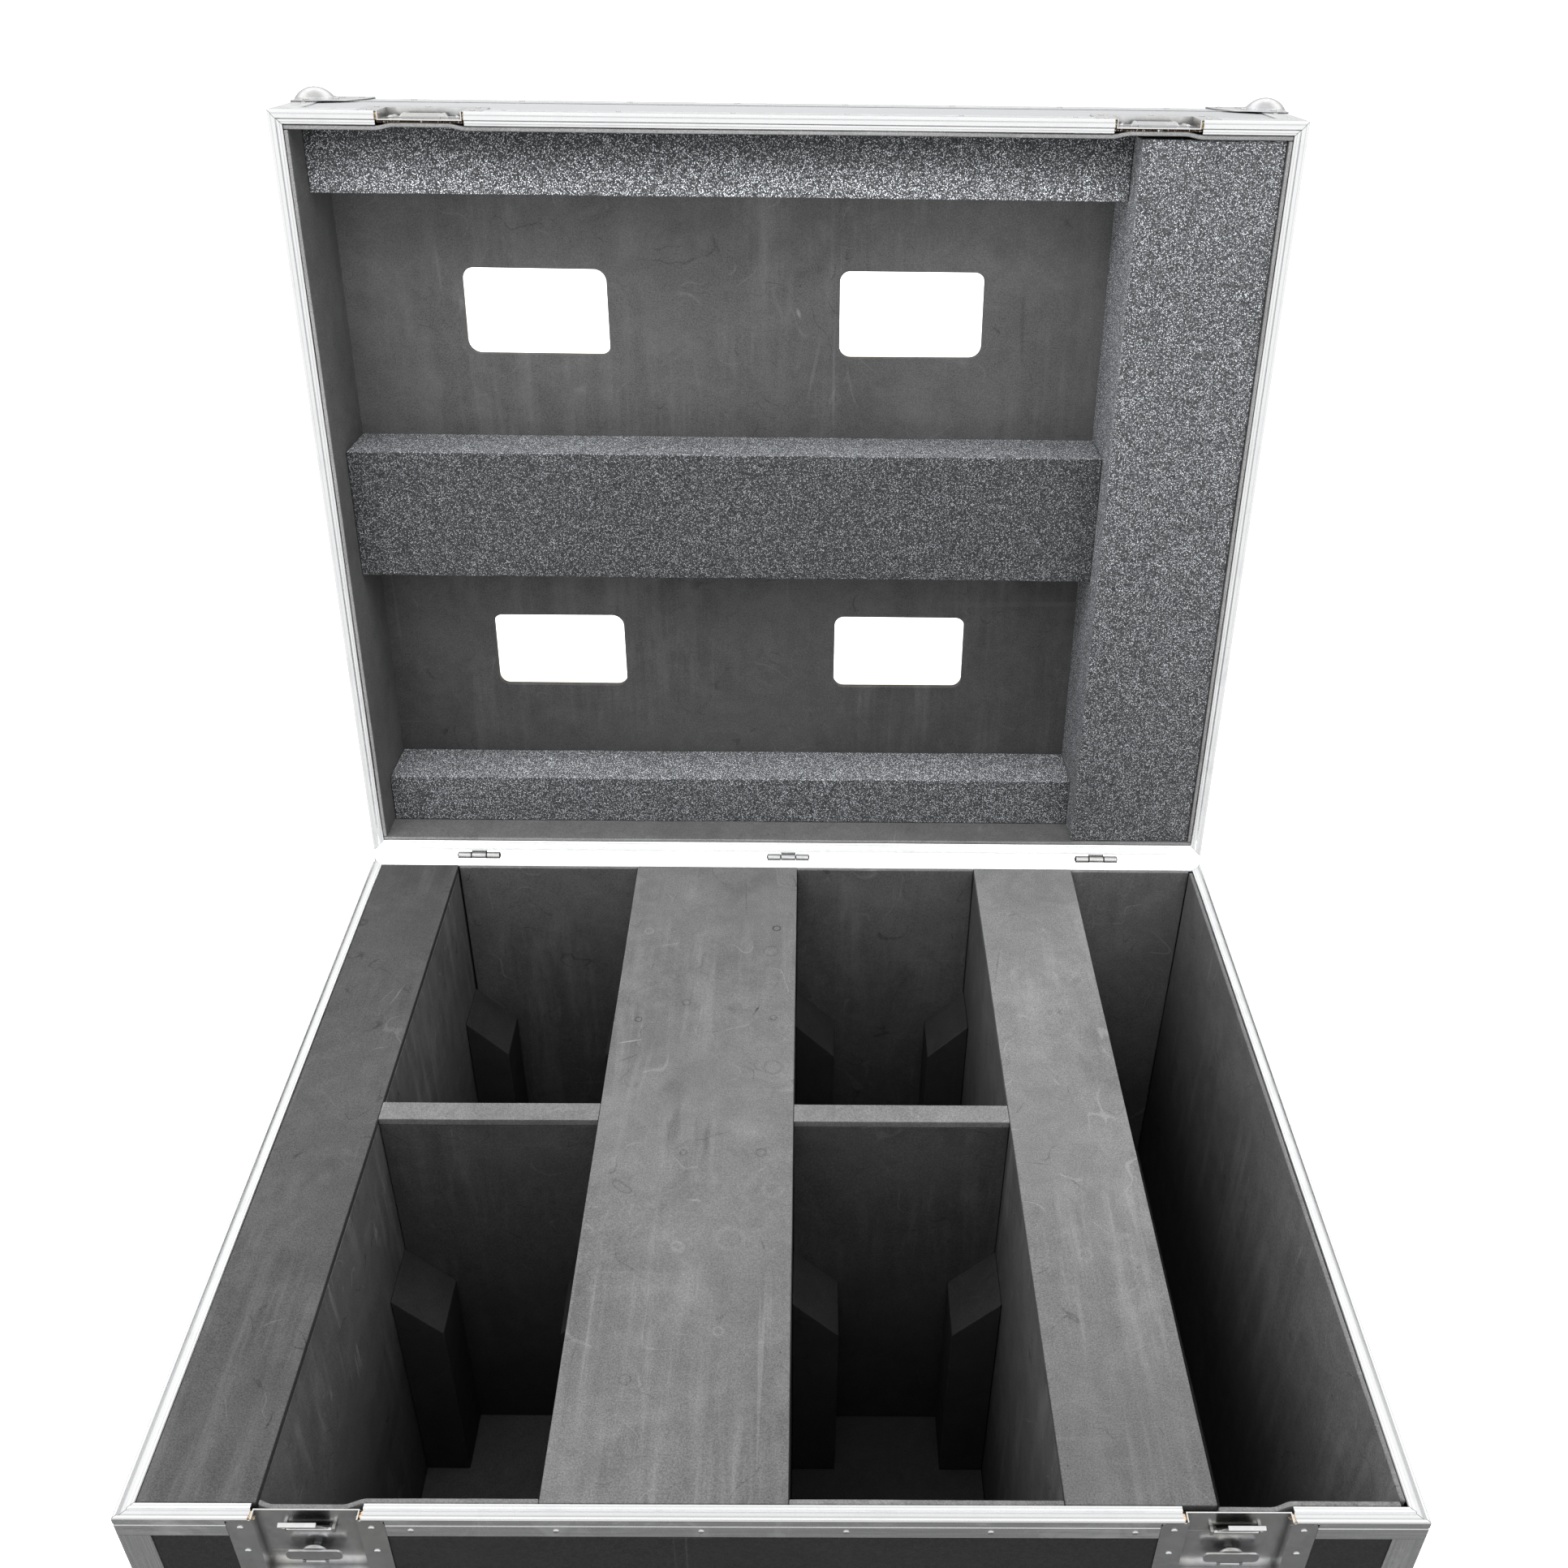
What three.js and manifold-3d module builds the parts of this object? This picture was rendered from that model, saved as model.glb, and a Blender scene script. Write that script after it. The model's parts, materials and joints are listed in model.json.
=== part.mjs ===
// Wheeled, aluminium-edged flight case with a hinged lid, standing open.
// Units: millimetres. +Z up, +X to the right, +Y to the back (hinge side).
// Origin: centre of the plywood floor panel's underside.
import * as THREE from 'three';
import { mergeVertices } from 'three/addons/utils/BufferGeometryUtils.js';
import Module from 'manifold-3d';

const manifold = await Module();
manifold.setup();

// ---------------------------------------------------------------- shared dimensions
const OUTER_WIDTH = 1200;    // over the rails
const OUTER_DEPTH = 990;     // over the rails
const HALF_WIDTH = OUTER_WIDTH / 2;
const HALF_DEPTH = OUTER_DEPTH / 2;
const PARTING_Z = 600;       // plane between base and lid
const LID_DEPTH = 160;       // parting plane to the lid's outer face
const LID_ANGLE = 95.6;      // opening angle, degrees
const GAP = 0.3;             // clearance between neighbouring pieces
const OVERCUT = 1;           // how far cutters run past a face

// Insets are measured inward from the outer face of the rails.
const METAL_T = 1.2;         // rails, angles and dishes
const PLY_OUTER = 1.5;
const PLY_INNER = 10.5;
const LINING_OUTER = PLY_INNER + GAP;
const LINING_INNER = 21.5;
const RAIL_WIDTH = 16;
const RAIL_FLANGE = 27;      // flange edge, from the parting plane
const RAIL_SEAT = 6.2;       // rail face on the plywood edge, from the parting plane
const LINING_SETBACK = 3.5;  // lining edge, from the parting plane

const FLOOR_T = 10;
const PAD_BOTTOM = FLOOR_T + GAP;
const PAD_TOP = PAD_BOTTOM + 10;
const BOTTOM_Z = -METAL_T - GAP; // underside of the base edge angles

const LATCH_X = 426;         // latch centres, either side of the middle
const DISH_HALF_WIDTH = 47.5; // inside a latch dish
const DISH_DEPTH = 9;        // inset of every dish floor
const DISH_FLANGE_HALF = 72; // half width of a latch dish's flange
const HOLE_MARGIN = 1.5;     // panel hole beyond the inside of a dish
const PIN_OUT = 7;           // hinge pin, behind the back face

const HANDLE_Z = 330;
const HANDLE_HALF_WIDTH = 70; // inside the handle dish
const HANDLE_HALF_HEIGHT = 45;

const SIDES = [['left', -1], ['right', 1]];
const ENDS = [['front', -1], ['back', 1]];

// ---------------------------------------------------------------- materials
const standard = (options) => new THREE.MeshStandardMaterial(options);
const MATERIALS = {
  aluminium: standard({ color: 0xe4e6e8, roughness: 0.32, metalness: 1 }),
  laminate: standard({ color: 0x1b1c1e, roughness: 0.45, metalness: 0 }),
  eva: standard({ color: 0x4b4c4e, roughness: 0.85, metalness: 0 }),
  polyethylene: standard({ color: 0x5b5f66, roughness: 0.9, metalness: 0 }),
  zinc: standard({ color: 0xd4d7da, roughness: 0.28, metalness: 1 }),
  steel: standard({ color: 0xaeb2b6, roughness: 0.35, metalness: 1 }),
  rubber: standard({ color: 0x26282b, roughness: 0.8, metalness: 0 }),
  wheel: standard({ color: 0x2a4a86, roughness: 0.5, metalness: 0 }),
};

// ---------------------------------------------------------------- solids
function solid(geometry) {
  let bare = geometry.index ? geometry.toNonIndexed() : geometry.clone();
  for (const key of Object.keys(bare.attributes)) {
    if (key !== 'position') bare.deleteAttribute(key);
  }
  bare = mergeVertices(bare, 1e-3);
  return new manifold.Manifold(new manifold.Mesh({
    numProp: 3,
    vertProperties: new Float32Array(bare.attributes.position.array),
    triVerts: new Uint32Array(bare.index.array),
  }));
}

const join = (...shapes) => shapes.reduce((sum, shape) => sum.add(shape));
const cut = (shape, ...cutters) => cutters.reduce((rest, cutter) => rest.subtract(cutter), shape);

// Box between two bounds on each axis, given in either order.
function box(x0, x1, y0, y1, z0, z1) {
  const geometry = new THREE.BoxGeometry(Math.abs(x1 - x0), Math.abs(y1 - y0), Math.abs(z1 - z0));
  geometry.translate((x0 + x1) / 2, (y0 + y1) / 2, (z0 + z1) / 2);
  return solid(geometry);
}

// Box over the whole plan of the case, less an inset all round.
const slab = (inset, z0, z1) => box(
  inset - HALF_WIDTH, HALF_WIDTH - inset, inset - HALF_DEPTH, HALF_DEPTH - inset, z0, z1);

// Boxes placed by their insets from the front face, or from a side face (side -1 or 1).
const frontY = (inset) => inset - HALF_DEPTH;
const frontBox = (x0, x1, inset0, inset1, z0, z1) =>
  box(x0, x1, frontY(inset0), frontY(inset1), z0, z1);
const sideX = (side, inset) => side * (HALF_WIDTH - inset);
const sideBox = (side, inset0, inset1, y0, y1, z0, z1) =>
  box(sideX(side, inset0), sideX(side, inset1), y0, y1, z0, z1);

// A range and its mirror image about zero.
const mirrored = (near, far) => [[-far, -near], [near, far]];

// Cylinder along an axis from start to end; (p, q) is its centre on the other two
// axes, in x, y, z order. It is turned half a segment, so flats face those axes.
function cylinder(axis, radius, start, end, p, q, segments) {
  const geometry = new THREE.CylinderGeometry(radius, radius, end - start, segments);
  geometry.rotateY(Math.PI / segments);
  const middle = (start + end) / 2;
  if (axis === 'x') {
    geometry.rotateZ(Math.PI / 2);
    geometry.translate(middle, p, q);
  } else if (axis === 'y') {
    geometry.translate(p, middle, q);
  } else {
    geometry.rotateX(Math.PI / 2);
    geometry.translate(p, q, middle);
  }
  return solid(geometry);
}

// Prism from an outline in a plane, from start to end on the third axis.
function prism(outline, plane, start, end) {
  const shape = new THREE.Shape(outline.map(([u, v]) => new THREE.Vector2(u, v)));
  const options = { depth: end - start, bevelEnabled: false };
  const geometry = new THREE.ExtrudeGeometry(shape, options);
  if (plane === 'xz') {
    geometry.rotateX(Math.PI / 2);
    geometry.translate(0, end, 0);
  } else if (plane === 'yz') {
    geometry.rotateX(Math.PI / 2);
    geometry.rotateZ(Math.PI / 2);
    geometry.translate(start, 0, 0);
  } else {
    geometry.translate(0, 0, start);
  }
  return solid(geometry);
}

function roundRect(centreU, centreV, width, height, radius, cornerSteps) {
  const points = [];
  for (const [signU, signV, from] of [[1, 1, 0], [-1, 1, 90], [-1, -1, 180], [1, -1, 270]]) {
    for (let i = 0; i <= cornerSteps; i++) {
      const angle = THREE.MathUtils.degToRad(from + (90 * i) / cornerSteps);
      points.push([
        centreU + signU * (width / 2 - radius) + radius * Math.cos(angle),
        centreV + signV * (height / 2 - radius) + radius * Math.sin(angle),
      ]);
    }
  }
  return points;
}

// Sweeps a profile of [inset, z] points through stops with mitred corners. A stop
// [x, y, stepX, stepY] puts a profile point at (x + inset * stepX, y + inset * stepY).
function sweep(profile, stops) {
  const count = profile.length;
  const positions = [];
  const indices = [];
  for (const [x, y, stepX, stepY] of stops) {
    for (const [inset, z] of profile) positions.push(x + inset * stepX, y + inset * stepY, z);
  }
  for (let k = 0; k + 1 < stops.length; k++) {
    for (let i = 0; i < count; i++) {
      const here = k * count + i;
      const next = k * count + (i + 1) % count;
      indices.push(here, next, here + count, next, next + count, here + count);
    }
  }
  // End caps, wound to agree with the walls.
  const outline = profile.map(([inset, z]) => new THREE.Vector2(inset, z));
  const winding = Math.sign(THREE.ShapeUtils.area(outline));
  const last = (stops.length - 1) * count;
  for (const [a, i, j] of THREE.ShapeUtils.triangulateShape(outline, [])) {
    const [A, B, C] = [profile[a], profile[i], profile[j]];
    const turn = (B[0] - A[0]) * (C[1] - A[1]) - (C[0] - A[0]) * (B[1] - A[1]);
    const [b, c] = Math.sign(turn) === winding ? [i, j] : [j, i];
    indices.push(a, c, b, last + a, last + b, last + c);
  }
  // Turn the surface over if it faces inward.
  const point = (i) => new THREE.Vector3().fromArray(positions, i * 3);
  let volume = 0;
  for (let i = 0; i < indices.length; i += 3) {
    const [a, b, c] = indices.slice(i, i + 3).map(point);
    volume += a.dot(b.cross(c));
  }
  if (volume < 0) {
    for (let i = 0; i < indices.length; i += 3) {
      [indices[i], indices[i + 1]] = [indices[i + 1], indices[i]];
    }
  }
  const geometry = new THREE.BufferGeometry();
  geometry.setAttribute('position', new THREE.Float32BufferAttribute(positions, 3));
  geometry.setIndex(indices);
  return solid(geometry);
}

// ---------------------------------------------------------------- groups
const root = new THREE.Group();
const base = new THREE.Group();
root.add(base);
const lidPivot = new THREE.Group(); // turns about the hinge pin
lidPivot.position.set(0, HALF_DEPTH + PIN_OUT, PARTING_Z);
lidPivot.rotation.x = -THREE.MathUtils.degToRad(LID_ANGLE);
const lid = new THREE.Group();      // lid pieces are drawn in their shut place
lid.position.set(0, -(HALF_DEPTH + PIN_OUT), -PARTING_Z);
lidPivot.add(lid);
root.add(lidPivot);

function put(group, name, shape, material) {
  const data = shape.getMesh();
  const geometry = new THREE.BufferGeometry();
  geometry.setAttribute('position', new THREE.BufferAttribute(data.vertProperties, 3));
  geometry.setIndex(new THREE.BufferAttribute(data.triVerts, 1));
  const flat = geometry.toNonIndexed();
  flat.computeVertexNormals();
  const mesh = new THREE.Mesh(flat, material);
  mesh.name = name;
  group.add(mesh);
}

// ---------------------------------------------------------------- base panels
// Half sizes of the middle field of the floor faces, which the castors clear at
// every swivel: a board can be fastened there.
const FLOOR_FIELD = [400, 300];

function floorPanel() {
  const halfX = HALF_WIDTH - PLY_OUTER;
  const halfY = HALF_DEPTH - PLY_OUTER;
  const geometry = new THREE.BoxGeometry(2 * halfX, 2 * halfY, FLOOR_T, 3, 3, 1);
  const points = geometry.attributes.position;
  for (let i = 0; i < points.count; i++) {
    const x = points.getX(i);
    const y = points.getY(i);
    if (Math.abs(x) < halfX - 1) points.setX(i, Math.sign(x) * FLOOR_FIELD[0]);
    if (Math.abs(y) < halfY - 1) points.setY(i, Math.sign(y) * FLOOR_FIELD[1]);
  }
  geometry.translate(0, 0, FLOOR_T / 2);
  return solid(geometry);
}

const BASE_HOLE_REACH = 92.6; // latch hole ends, from the parting plane
const LID_HOLE_REACH = 46.6;
function latchHoles(z0, z1) {
  const half = DISH_HALF_WIDTH + HOLE_MARGIN;
  return SIDES.map(([, side]) => {
    const x = side * LATCH_X;
    return frontBox(x - half, x + half, -OVERCUT, 12, z0, z1);
  });
}

const WALL_BOTTOM = FLOOR_T + GAP;
const WALL_TOP = PARTING_Z - RAIL_SEAT - GAP;
const WALL_HALF_X = HALF_WIDTH - PLY_OUTER;
const SIDE_WALL_HALF_Y = HALF_DEPTH - PLY_INNER - GAP;

function sidePanel(side) {
  const halfY = HANDLE_HALF_WIDTH + HOLE_MARGIN;
  const halfZ = HANDLE_HALF_HEIGHT + HOLE_MARGIN;
  return cut(
    sideBox(side, PLY_OUTER, PLY_INNER, -SIDE_WALL_HALF_Y, SIDE_WALL_HALF_Y, WALL_BOTTOM, WALL_TOP),
    sideBox(side, PLY_OUTER - 2, PLY_INNER + 2, -halfY, halfY, HANDLE_Z - halfZ, HANDLE_Z + halfZ));
}

put(base, 'base_floor_panel', floorPanel(), MATERIALS.laminate);
put(base, 'base_front_panel', cut(
  frontBox(-WALL_HALF_X, WALL_HALF_X, PLY_OUTER, PLY_INNER, WALL_BOTTOM, WALL_TOP),
  ...latchHoles(PARTING_Z - BASE_HOLE_REACH, PARTING_Z)), MATERIALS.laminate);
put(base, 'base_back_panel', box(-WALL_HALF_X, WALL_HALF_X,
  HALF_DEPTH - PLY_INNER, HALF_DEPTH - PLY_OUTER, WALL_BOTTOM, WALL_TOP), MATERIALS.laminate);
for (const [name, side] of SIDES) {
  put(base, `base_${name}_panel`, sidePanel(side), MATERIALS.laminate);
}

// ---------------------------------------------------------------- rim rails
// Where the two rails meet: [inset, distance from the parting plane into the rail's
// own half]. The lid's tongue drops into the base's groove.
const GROOVE = [[3.2, 0.15], [3.7, 2.6], [9.9, 2.6], [10.4, 0.15]];
const TONGUE = [[3.3, 0.15], [4.7, -1.8], [8.9, -1.8], [10.3, 0.15]];

// direction: -1 for the base, 1 for the lid.
const railProfile = (direction, joint) => [
  // outer flange with a shallow line along it
  [0, RAIL_FLANGE], [0, 11.2], [0.45, 10.8], [0.45, 9.2], [0, 8.8],
  // outer lip
  [0, 1.3], [0.4, 0.5], [1.1, 0.15],
  ...joint,
  // inner land with a shallow line along it
  [12.6, 0.15], [12.9, 0.6], [13.5, 0.6], [13.8, 0.15],
  [15.1, 0.15], [RAIL_WIDTH, 1], [RAIL_WIDTH, 3.2],
  // underside over the panel edge
  [PLY_INNER, 3.2], [PLY_INNER, RAIL_SEAT], [METAL_T, RAIL_SEAT], [METAL_T, RAIL_FLANGE],
].map(([inset, distance]) => [inset, PARTING_Z + direction * distance]);

const RAIL_NOTCH = 51.3;     // half width of the rail gap at a latch
const NOTCH_OUTER = LATCH_X + RAIL_NOTCH;
const NOTCH_INNER = LATCH_X - RAIL_NOTCH;
const FRAME_STOPS = [
  [-NOTCH_OUTER, -HALF_DEPTH, 0, 1],
  [-HALF_WIDTH, -HALF_DEPTH, 1, 1],
  [-HALF_WIDTH, HALF_DEPTH, 1, -1],
  [HALF_WIDTH, HALF_DEPTH, -1, -1],
  [HALF_WIDTH, -HALF_DEPTH, -1, 1],
  [NOTCH_OUTER, -HALF_DEPTH, 0, 1],
];
const FRONT_STOPS = [[-NOTCH_INNER, -HALF_DEPTH, 0, 1], [NOTCH_INNER, -HALF_DEPTH, 0, 1]];

for (const [group, name, direction, joint] of [[base, 'base', -1, GROOVE], [lid, 'lid', 1, TONGUE]]) {
  const profile = railProfile(direction, joint);
  // The outer flange stops short where the latch flanges lie.
  const half = DISH_FLANGE_HALF + GAP;
  const flangeCuts = SIDES.map(([, side]) => frontBox(
    side * LATCH_X - half, side * LATCH_X + half, -OVERCUT, 1.35,
    PARTING_Z + direction * 2.7, PARTING_Z + direction * 40));
  for (const [part, stops] of [['frame', FRAME_STOPS], ['front', FRONT_STOPS]]) {
    put(group, `${name}_rail_${part}`, cut(sweep(profile, stops), ...flangeCuts),
      MATERIALS.aluminium);
  }
}

// ---------------------------------------------------------------- edge angles
const ANGLE_LEG = 30;
const BALL_RADIUS = 22;
const BALL_INSET = 17.5;     // ball centre, inward from the three faces
const BALL_TURN = [0.31, 0.17, 0.23]; // turns about x, y, z, radians
const EDGE_ROOM = 120;       // reach of the cutter that clears the inside

function cornerBall(x, y, z) {
  const geometry = new THREE.IcosahedronGeometry(BALL_RADIUS, 2);
  geometry.rotateX(BALL_TURN[0]);
  geometry.rotateY(BALL_TURN[1]);
  geometry.rotateZ(BALL_TURN[2]);
  geometry.translate(x, y, z);
  return solid(geometry);
}

// Corner and edge angles joined at ball corners. endZ is the closed end's outer face,
// stopZ the other end of the corner angles; direction points out of the box.
function edgeFrame(endZ, stopZ, direction) {
  const inward = (distance) => endZ - direction * distance;
  const parts = [];
  for (const [, side] of SIDES) {
    for (const [, end] of ENDS) {
      const X = (inset) => sideX(side, inset);
      const Y = (inset) => end * (HALF_DEPTH - inset);
      parts.push(
        box(X(0), X(ANGLE_LEG), Y(0), Y(METAL_T), endZ, stopZ),
        box(X(0), X(METAL_T), Y(0), Y(ANGLE_LEG), endZ, stopZ),
        cornerBall(X(BALL_INSET), Y(BALL_INSET), inward(BALL_INSET)));
    }
  }
  // Ring round the closed end, of a given width and height.
  const ring = (width, height) => cut(
    slab(0, endZ, inward(height)),
    slab(width, inward(-OVERCUT), inward(height + OVERCUT)));
  parts.push(ring(METAL_T, ANGLE_LEG), ring(ANGLE_LEG, METAL_T));
  return cut(join(...parts), slab(PLY_OUTER - GAP, inward(METAL_T), inward(EDGE_ROOM)));
}

put(base, 'base_edge_frame', edgeFrame(BOTTOM_Z, PARTING_Z - RAIL_FLANGE - GAP, -1),
  MATERIALS.aluminium);
put(lid, 'lid_edge_frame', edgeFrame(PARTING_Z + LID_DEPTH, PARTING_Z + RAIL_FLANGE + GAP, 1),
  MATERIALS.aluminium);

// ---------------------------------------------------------------- base foam
const INNER_X = HALF_WIDTH - LINING_INNER; // inner faces of the lining
const INNER_Y = HALF_DEPTH - LINING_INNER;
const LINING_X = HALF_WIDTH - LINING_OUTER; // outer faces of the lining
const LINING_Y = HALF_DEPTH - LINING_OUTER;
const FOAM_X = INNER_X - GAP; // reach of pieces inside the lining
const FOAM_Y = INNER_Y - GAP;
const CAP_X = HALF_WIDTH - RAIL_WIDTH - GAP; // reach of the rib caps
const CAP_Y = HALF_DEPTH - RAIL_WIDTH - GAP;

const LEFT_RIB_INNER = -474;
const CENTRE_RIB = [-216, 13]; // x ranges
const RIGHT_RIB = [267.6, 408];
const DIVIDER = [-9.8, 17.2]; // y range
const RIB_TOP = PARTING_Z - 0.6;
const CAP_BOTTOM = RIB_TOP - 10;

function baseLining() {
  const slotZ = CAP_BOTTOM - GAP;
  const walls = cut(
    slab(LINING_OUTER, PAD_BOTTOM, PARTING_Z - LINING_SETBACK),
    slab(LINING_INNER, 0, PARTING_Z + OVERCUT));
  // Floor strip to the right of the right rib.
  const strip = box(RIGHT_RIB[1] + GAP, INNER_X + 2, -INNER_Y - 2, INNER_Y + 2,
    PAD_BOTTOM, PAD_TOP);
  // Slots in the front and back walls for the rib caps.
  const slots = [[-LINING_X - OVERCUT, LEFT_RIB_INNER], CENTRE_RIB, RIGHT_RIB].flatMap(([x0, x1]) =>
    [-1, 1].map((end) => box(x0 - GAP, x1 + GAP,
      end * (LINING_Y + OVERCUT), end * (INNER_Y - OVERCUT), slotZ, PARTING_Z)));
  const leftWallTop = box(-LINING_X - OVERCUT, -INNER_X + OVERCUT,
    -LINING_Y - OVERCUT, LINING_Y + OVERCUT, slotZ, PARTING_Z);
  return cut(join(walls, strip), ...slots, leftWallTop);
}

// Rib with a longer cap sheet on top; the cap may also start further left.
const rib = (x0, x1, capX0 = x0) => join(
  box(x0, x1, -FOAM_Y, FOAM_Y, PAD_BOTTOM, RIB_TOP - 1),
  box(capX0, x1, -CAP_Y, CAP_Y, CAP_BOTTOM, RIB_TOP));

// Compartments between ribs and dividers: x ranges left and right, y front and back.
const CELL_X = [
  [LEFT_RIB_INNER + GAP, CENTRE_RIB[0] - GAP],
  [CENTRE_RIB[1] + GAP, RIGHT_RIB[0] - GAP],
];
const CELL_Y = [[-FOAM_Y, DIVIDER[0] - GAP], [DIVIDER[1] + GAP, FOAM_Y]];

put(base, 'base_lining', baseLining(), MATERIALS.eva);
put(base, 'left_rib', rib(-FOAM_X, LEFT_RIB_INNER, -CAP_X), MATERIALS.eva);
put(base, 'centre_rib', rib(...CENTRE_RIB), MATERIALS.eva);
put(base, 'right_rib', rib(...RIGHT_RIB), MATERIALS.eva);
SIDES.forEach(([name], i) => {
  put(base, `${name}_divider`, box(...CELL_X[i], ...DIVIDER, PAD_BOTTOM, RIB_TOP), MATERIALS.eva);
});

// Corner posts of the inserts; their tops fall towards the compartment's middle.
const POST = { x: 57, y: 79, wallZ: 369, drop: 61, footZ: PAD_BOTTOM + 4 };

// Floor pad with four corner posts.
function insert([x0, x1], [y0, y1]) {
  const posts = [[x0, 1], [x1, -1]].flatMap(([wallX, direction]) => {
    const innerX = wallX + direction * POST.x;
    const outline = [
      [wallX, POST.footZ], [innerX, POST.footZ],
      [innerX, POST.wallZ - POST.drop], [wallX, POST.wallZ],
    ];
    return [prism(outline, 'xz', y0, y0 + POST.y), prism(outline, 'xz', y1 - POST.y, y1)];
  });
  return join(box(x0, x1, y0, y1, PAD_BOTTOM, PAD_TOP), ...posts);
}

SIDES.forEach(([side], i) => ENDS.forEach(([end], j) => {
  put(base, `insert_${end}_${side}`, insert(CELL_X[i], CELL_Y[j]), MATERIALS.eva);
}));

// ---------------------------------------------------------------- lid
const LID_LINING_Z = PARTING_Z + 140; // lining face
const LID_PANEL_Z = [PARTING_Z + 150.3, PARTING_Z + 158.5];
const LID_WALL_END = LID_PANEL_Z[0] - GAP;
const LID_FOAM_END = LID_LINING_Z - GAP;
const BAR_Z = PARTING_Z + 52; // exposed faces of the bars
const BLOCK_Z = PARTING_Z + 4; // exposed face of the side block
const BLOCK_X = 409.7;       // left face of the side block
const BARS = [               // name, then distances forward from the back face
  ['back', LINING_INNER + GAP, 93],
  ['middle', 403, 574],
  ['front', 893, OUTER_DEPTH - LINING_INNER - GAP],
];
const WINDOW = { width: 190, height: 113, radius: 14, cornerSteps: 5 };
const WINDOW_X = [-332, 158];
const WINDOW_FROM_BACK = [256, 737];

const windows = () => WINDOW_X.flatMap((x) => WINDOW_FROM_BACK.map((distance) => prism(
  roundRect(x, HALF_DEPTH - distance,
    WINDOW.width, WINDOW.height, WINDOW.radius, WINDOW.cornerSteps),
  'xy', PARTING_Z + 100, PARTING_Z + 200)));

put(lid, 'lid_top_panel', cut(slab(PLY_OUTER, ...LID_PANEL_Z), ...windows()), MATERIALS.laminate);
put(lid, 'lid_wall_frame', cut(
  slab(PLY_OUTER, PARTING_Z + RAIL_SEAT + GAP, LID_WALL_END),
  slab(PLY_INNER, PARTING_Z, PARTING_Z + LID_DEPTH),
  ...latchHoles(PARTING_Z, PARTING_Z + LID_HOLE_REACH)), MATERIALS.laminate);
put(lid, 'lid_lining', cut(
  slab(LINING_OUTER, PARTING_Z + LINING_SETBACK, LID_WALL_END),
  slab(LINING_INNER, PARTING_Z, LID_LINING_Z),
  ...windows()), MATERIALS.eva);
for (const [name, near, far] of BARS) {
  put(lid, `lid_bar_${name}`, box(-FOAM_X, BLOCK_X - GAP,
    HALF_DEPTH - far, HALF_DEPTH - near, BAR_Z, LID_FOAM_END), MATERIALS.polyethylene);
}
put(lid, 'lid_side_block', box(BLOCK_X, FOAM_X, -FOAM_Y, FOAM_Y, BLOCK_Z, LID_FOAM_END),
  MATERIALS.polyethylene);

// ---------------------------------------------------------------- hinges
// The base leaf has the two outer knuckles and the pin; the lid leaf the middle one.
const HINGES = [['left', -448], ['centre', 0], ['right', 448]];
const HINGE = {
  half: 30,                  // half length
  plateNear: 6, plateFar: 40, // plate edges, from the pin axis
  plateT: 1.8,
  webNear: 1, webFar: 7,     // web to the knuckle, from the pin axis
  webBack: 2.6,              // web's back face, in front of the pin axis
  knuckleR: 4.6, knuckleHalf: 11, knuckleGap: 0.5,
  pinR: 2.4, pinEnd: 1, boreGap: 0.45,
};

function hingeLeaf(x, direction, knuckles) {
  const front = HALF_DEPTH + GAP;
  const pinY = HALF_DEPTH + PIN_OUT;
  return join(
    box(x - HINGE.half, x + HINGE.half, front, front + HINGE.plateT,
      PARTING_Z + direction * HINGE.plateNear, PARTING_Z + direction * HINGE.plateFar),
    ...knuckles.map(([start, end]) => join(
      cylinder('x', HINGE.knuckleR, x + start, x + end, pinY, PARTING_Z, 16),
      box(x + start, x + end, front, pinY - HINGE.webBack,
        PARTING_Z + direction * HINGE.webNear, PARTING_Z + direction * HINGE.webFar))));
}

const hingePin = (x, radius, half) =>
  cylinder('x', radius, x - half, x + half, HALF_DEPTH + PIN_OUT, PARTING_Z, 12);

for (const [name, x] of HINGES) {
  const middle = HINGE.knuckleHalf - HINGE.knuckleGap;
  put(base, `hinge_${name}_base_leaf`, join(
    hingeLeaf(x, -1, mirrored(HINGE.knuckleHalf, HINGE.half)),
    hingePin(x, HINGE.pinR, HINGE.half + HINGE.pinEnd)), MATERIALS.zinc);
  put(lid, `hinge_${name}_lid_leaf`, cut(
    hingeLeaf(x, 1, [[-middle, middle]]),
    hingePin(x, HINGE.pinR + HINGE.boreGap, HINGE.half)), MATERIALS.zinc);
}

// ---------------------------------------------------------------- latches
// front, back and inset values are insets from the front face of the case.
const DISH_BACK = DISH_DEPTH + METAL_T;
const DISH_ROOT = DISH_DEPTH + 0.5; // how far fittings sink into a dish floor
const BASE_DISH = { direction: -1, reach: 91.2, flange: 22 };
const LID_DISH = { direction: 1, reach: 45, flange: 16 };
const HOOK = {
  pivotZ: PARTING_Z - 24, pivotInset: 5.5, tilt: 28, // swung clear, degrees
  half: 17, front: 4.6, back: 6.4, lipBack: 8.4,
  bottomZ: PARTING_Z - 28, lipZ: PARTING_Z + 15.9, topZ: PARTING_Z + 18,
  pinR: 2, pinHalf: 20.7,
};
const LUG = { near: 21.2, far: 24, front: HOOK.pivotInset - 2.5, halfZ: 3 };
const KEEPER = { half: 22, front: 6.9, z0: PARTING_Z + 11, z1: PARTING_Z + 15.2 };
const BOSS_Z = PARTING_Z - 62;
const BOSS = { discR: 13, discFront: 1.9, discBack: 3.9, shaftR: 6, shaftFront: 3.5 };
const EAR = { near: 9.4, far: 12, front: -0.6, back: 2.4, z0: BOSS_Z - 9.4, z1: BOSS_Z - 5.2 };
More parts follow.
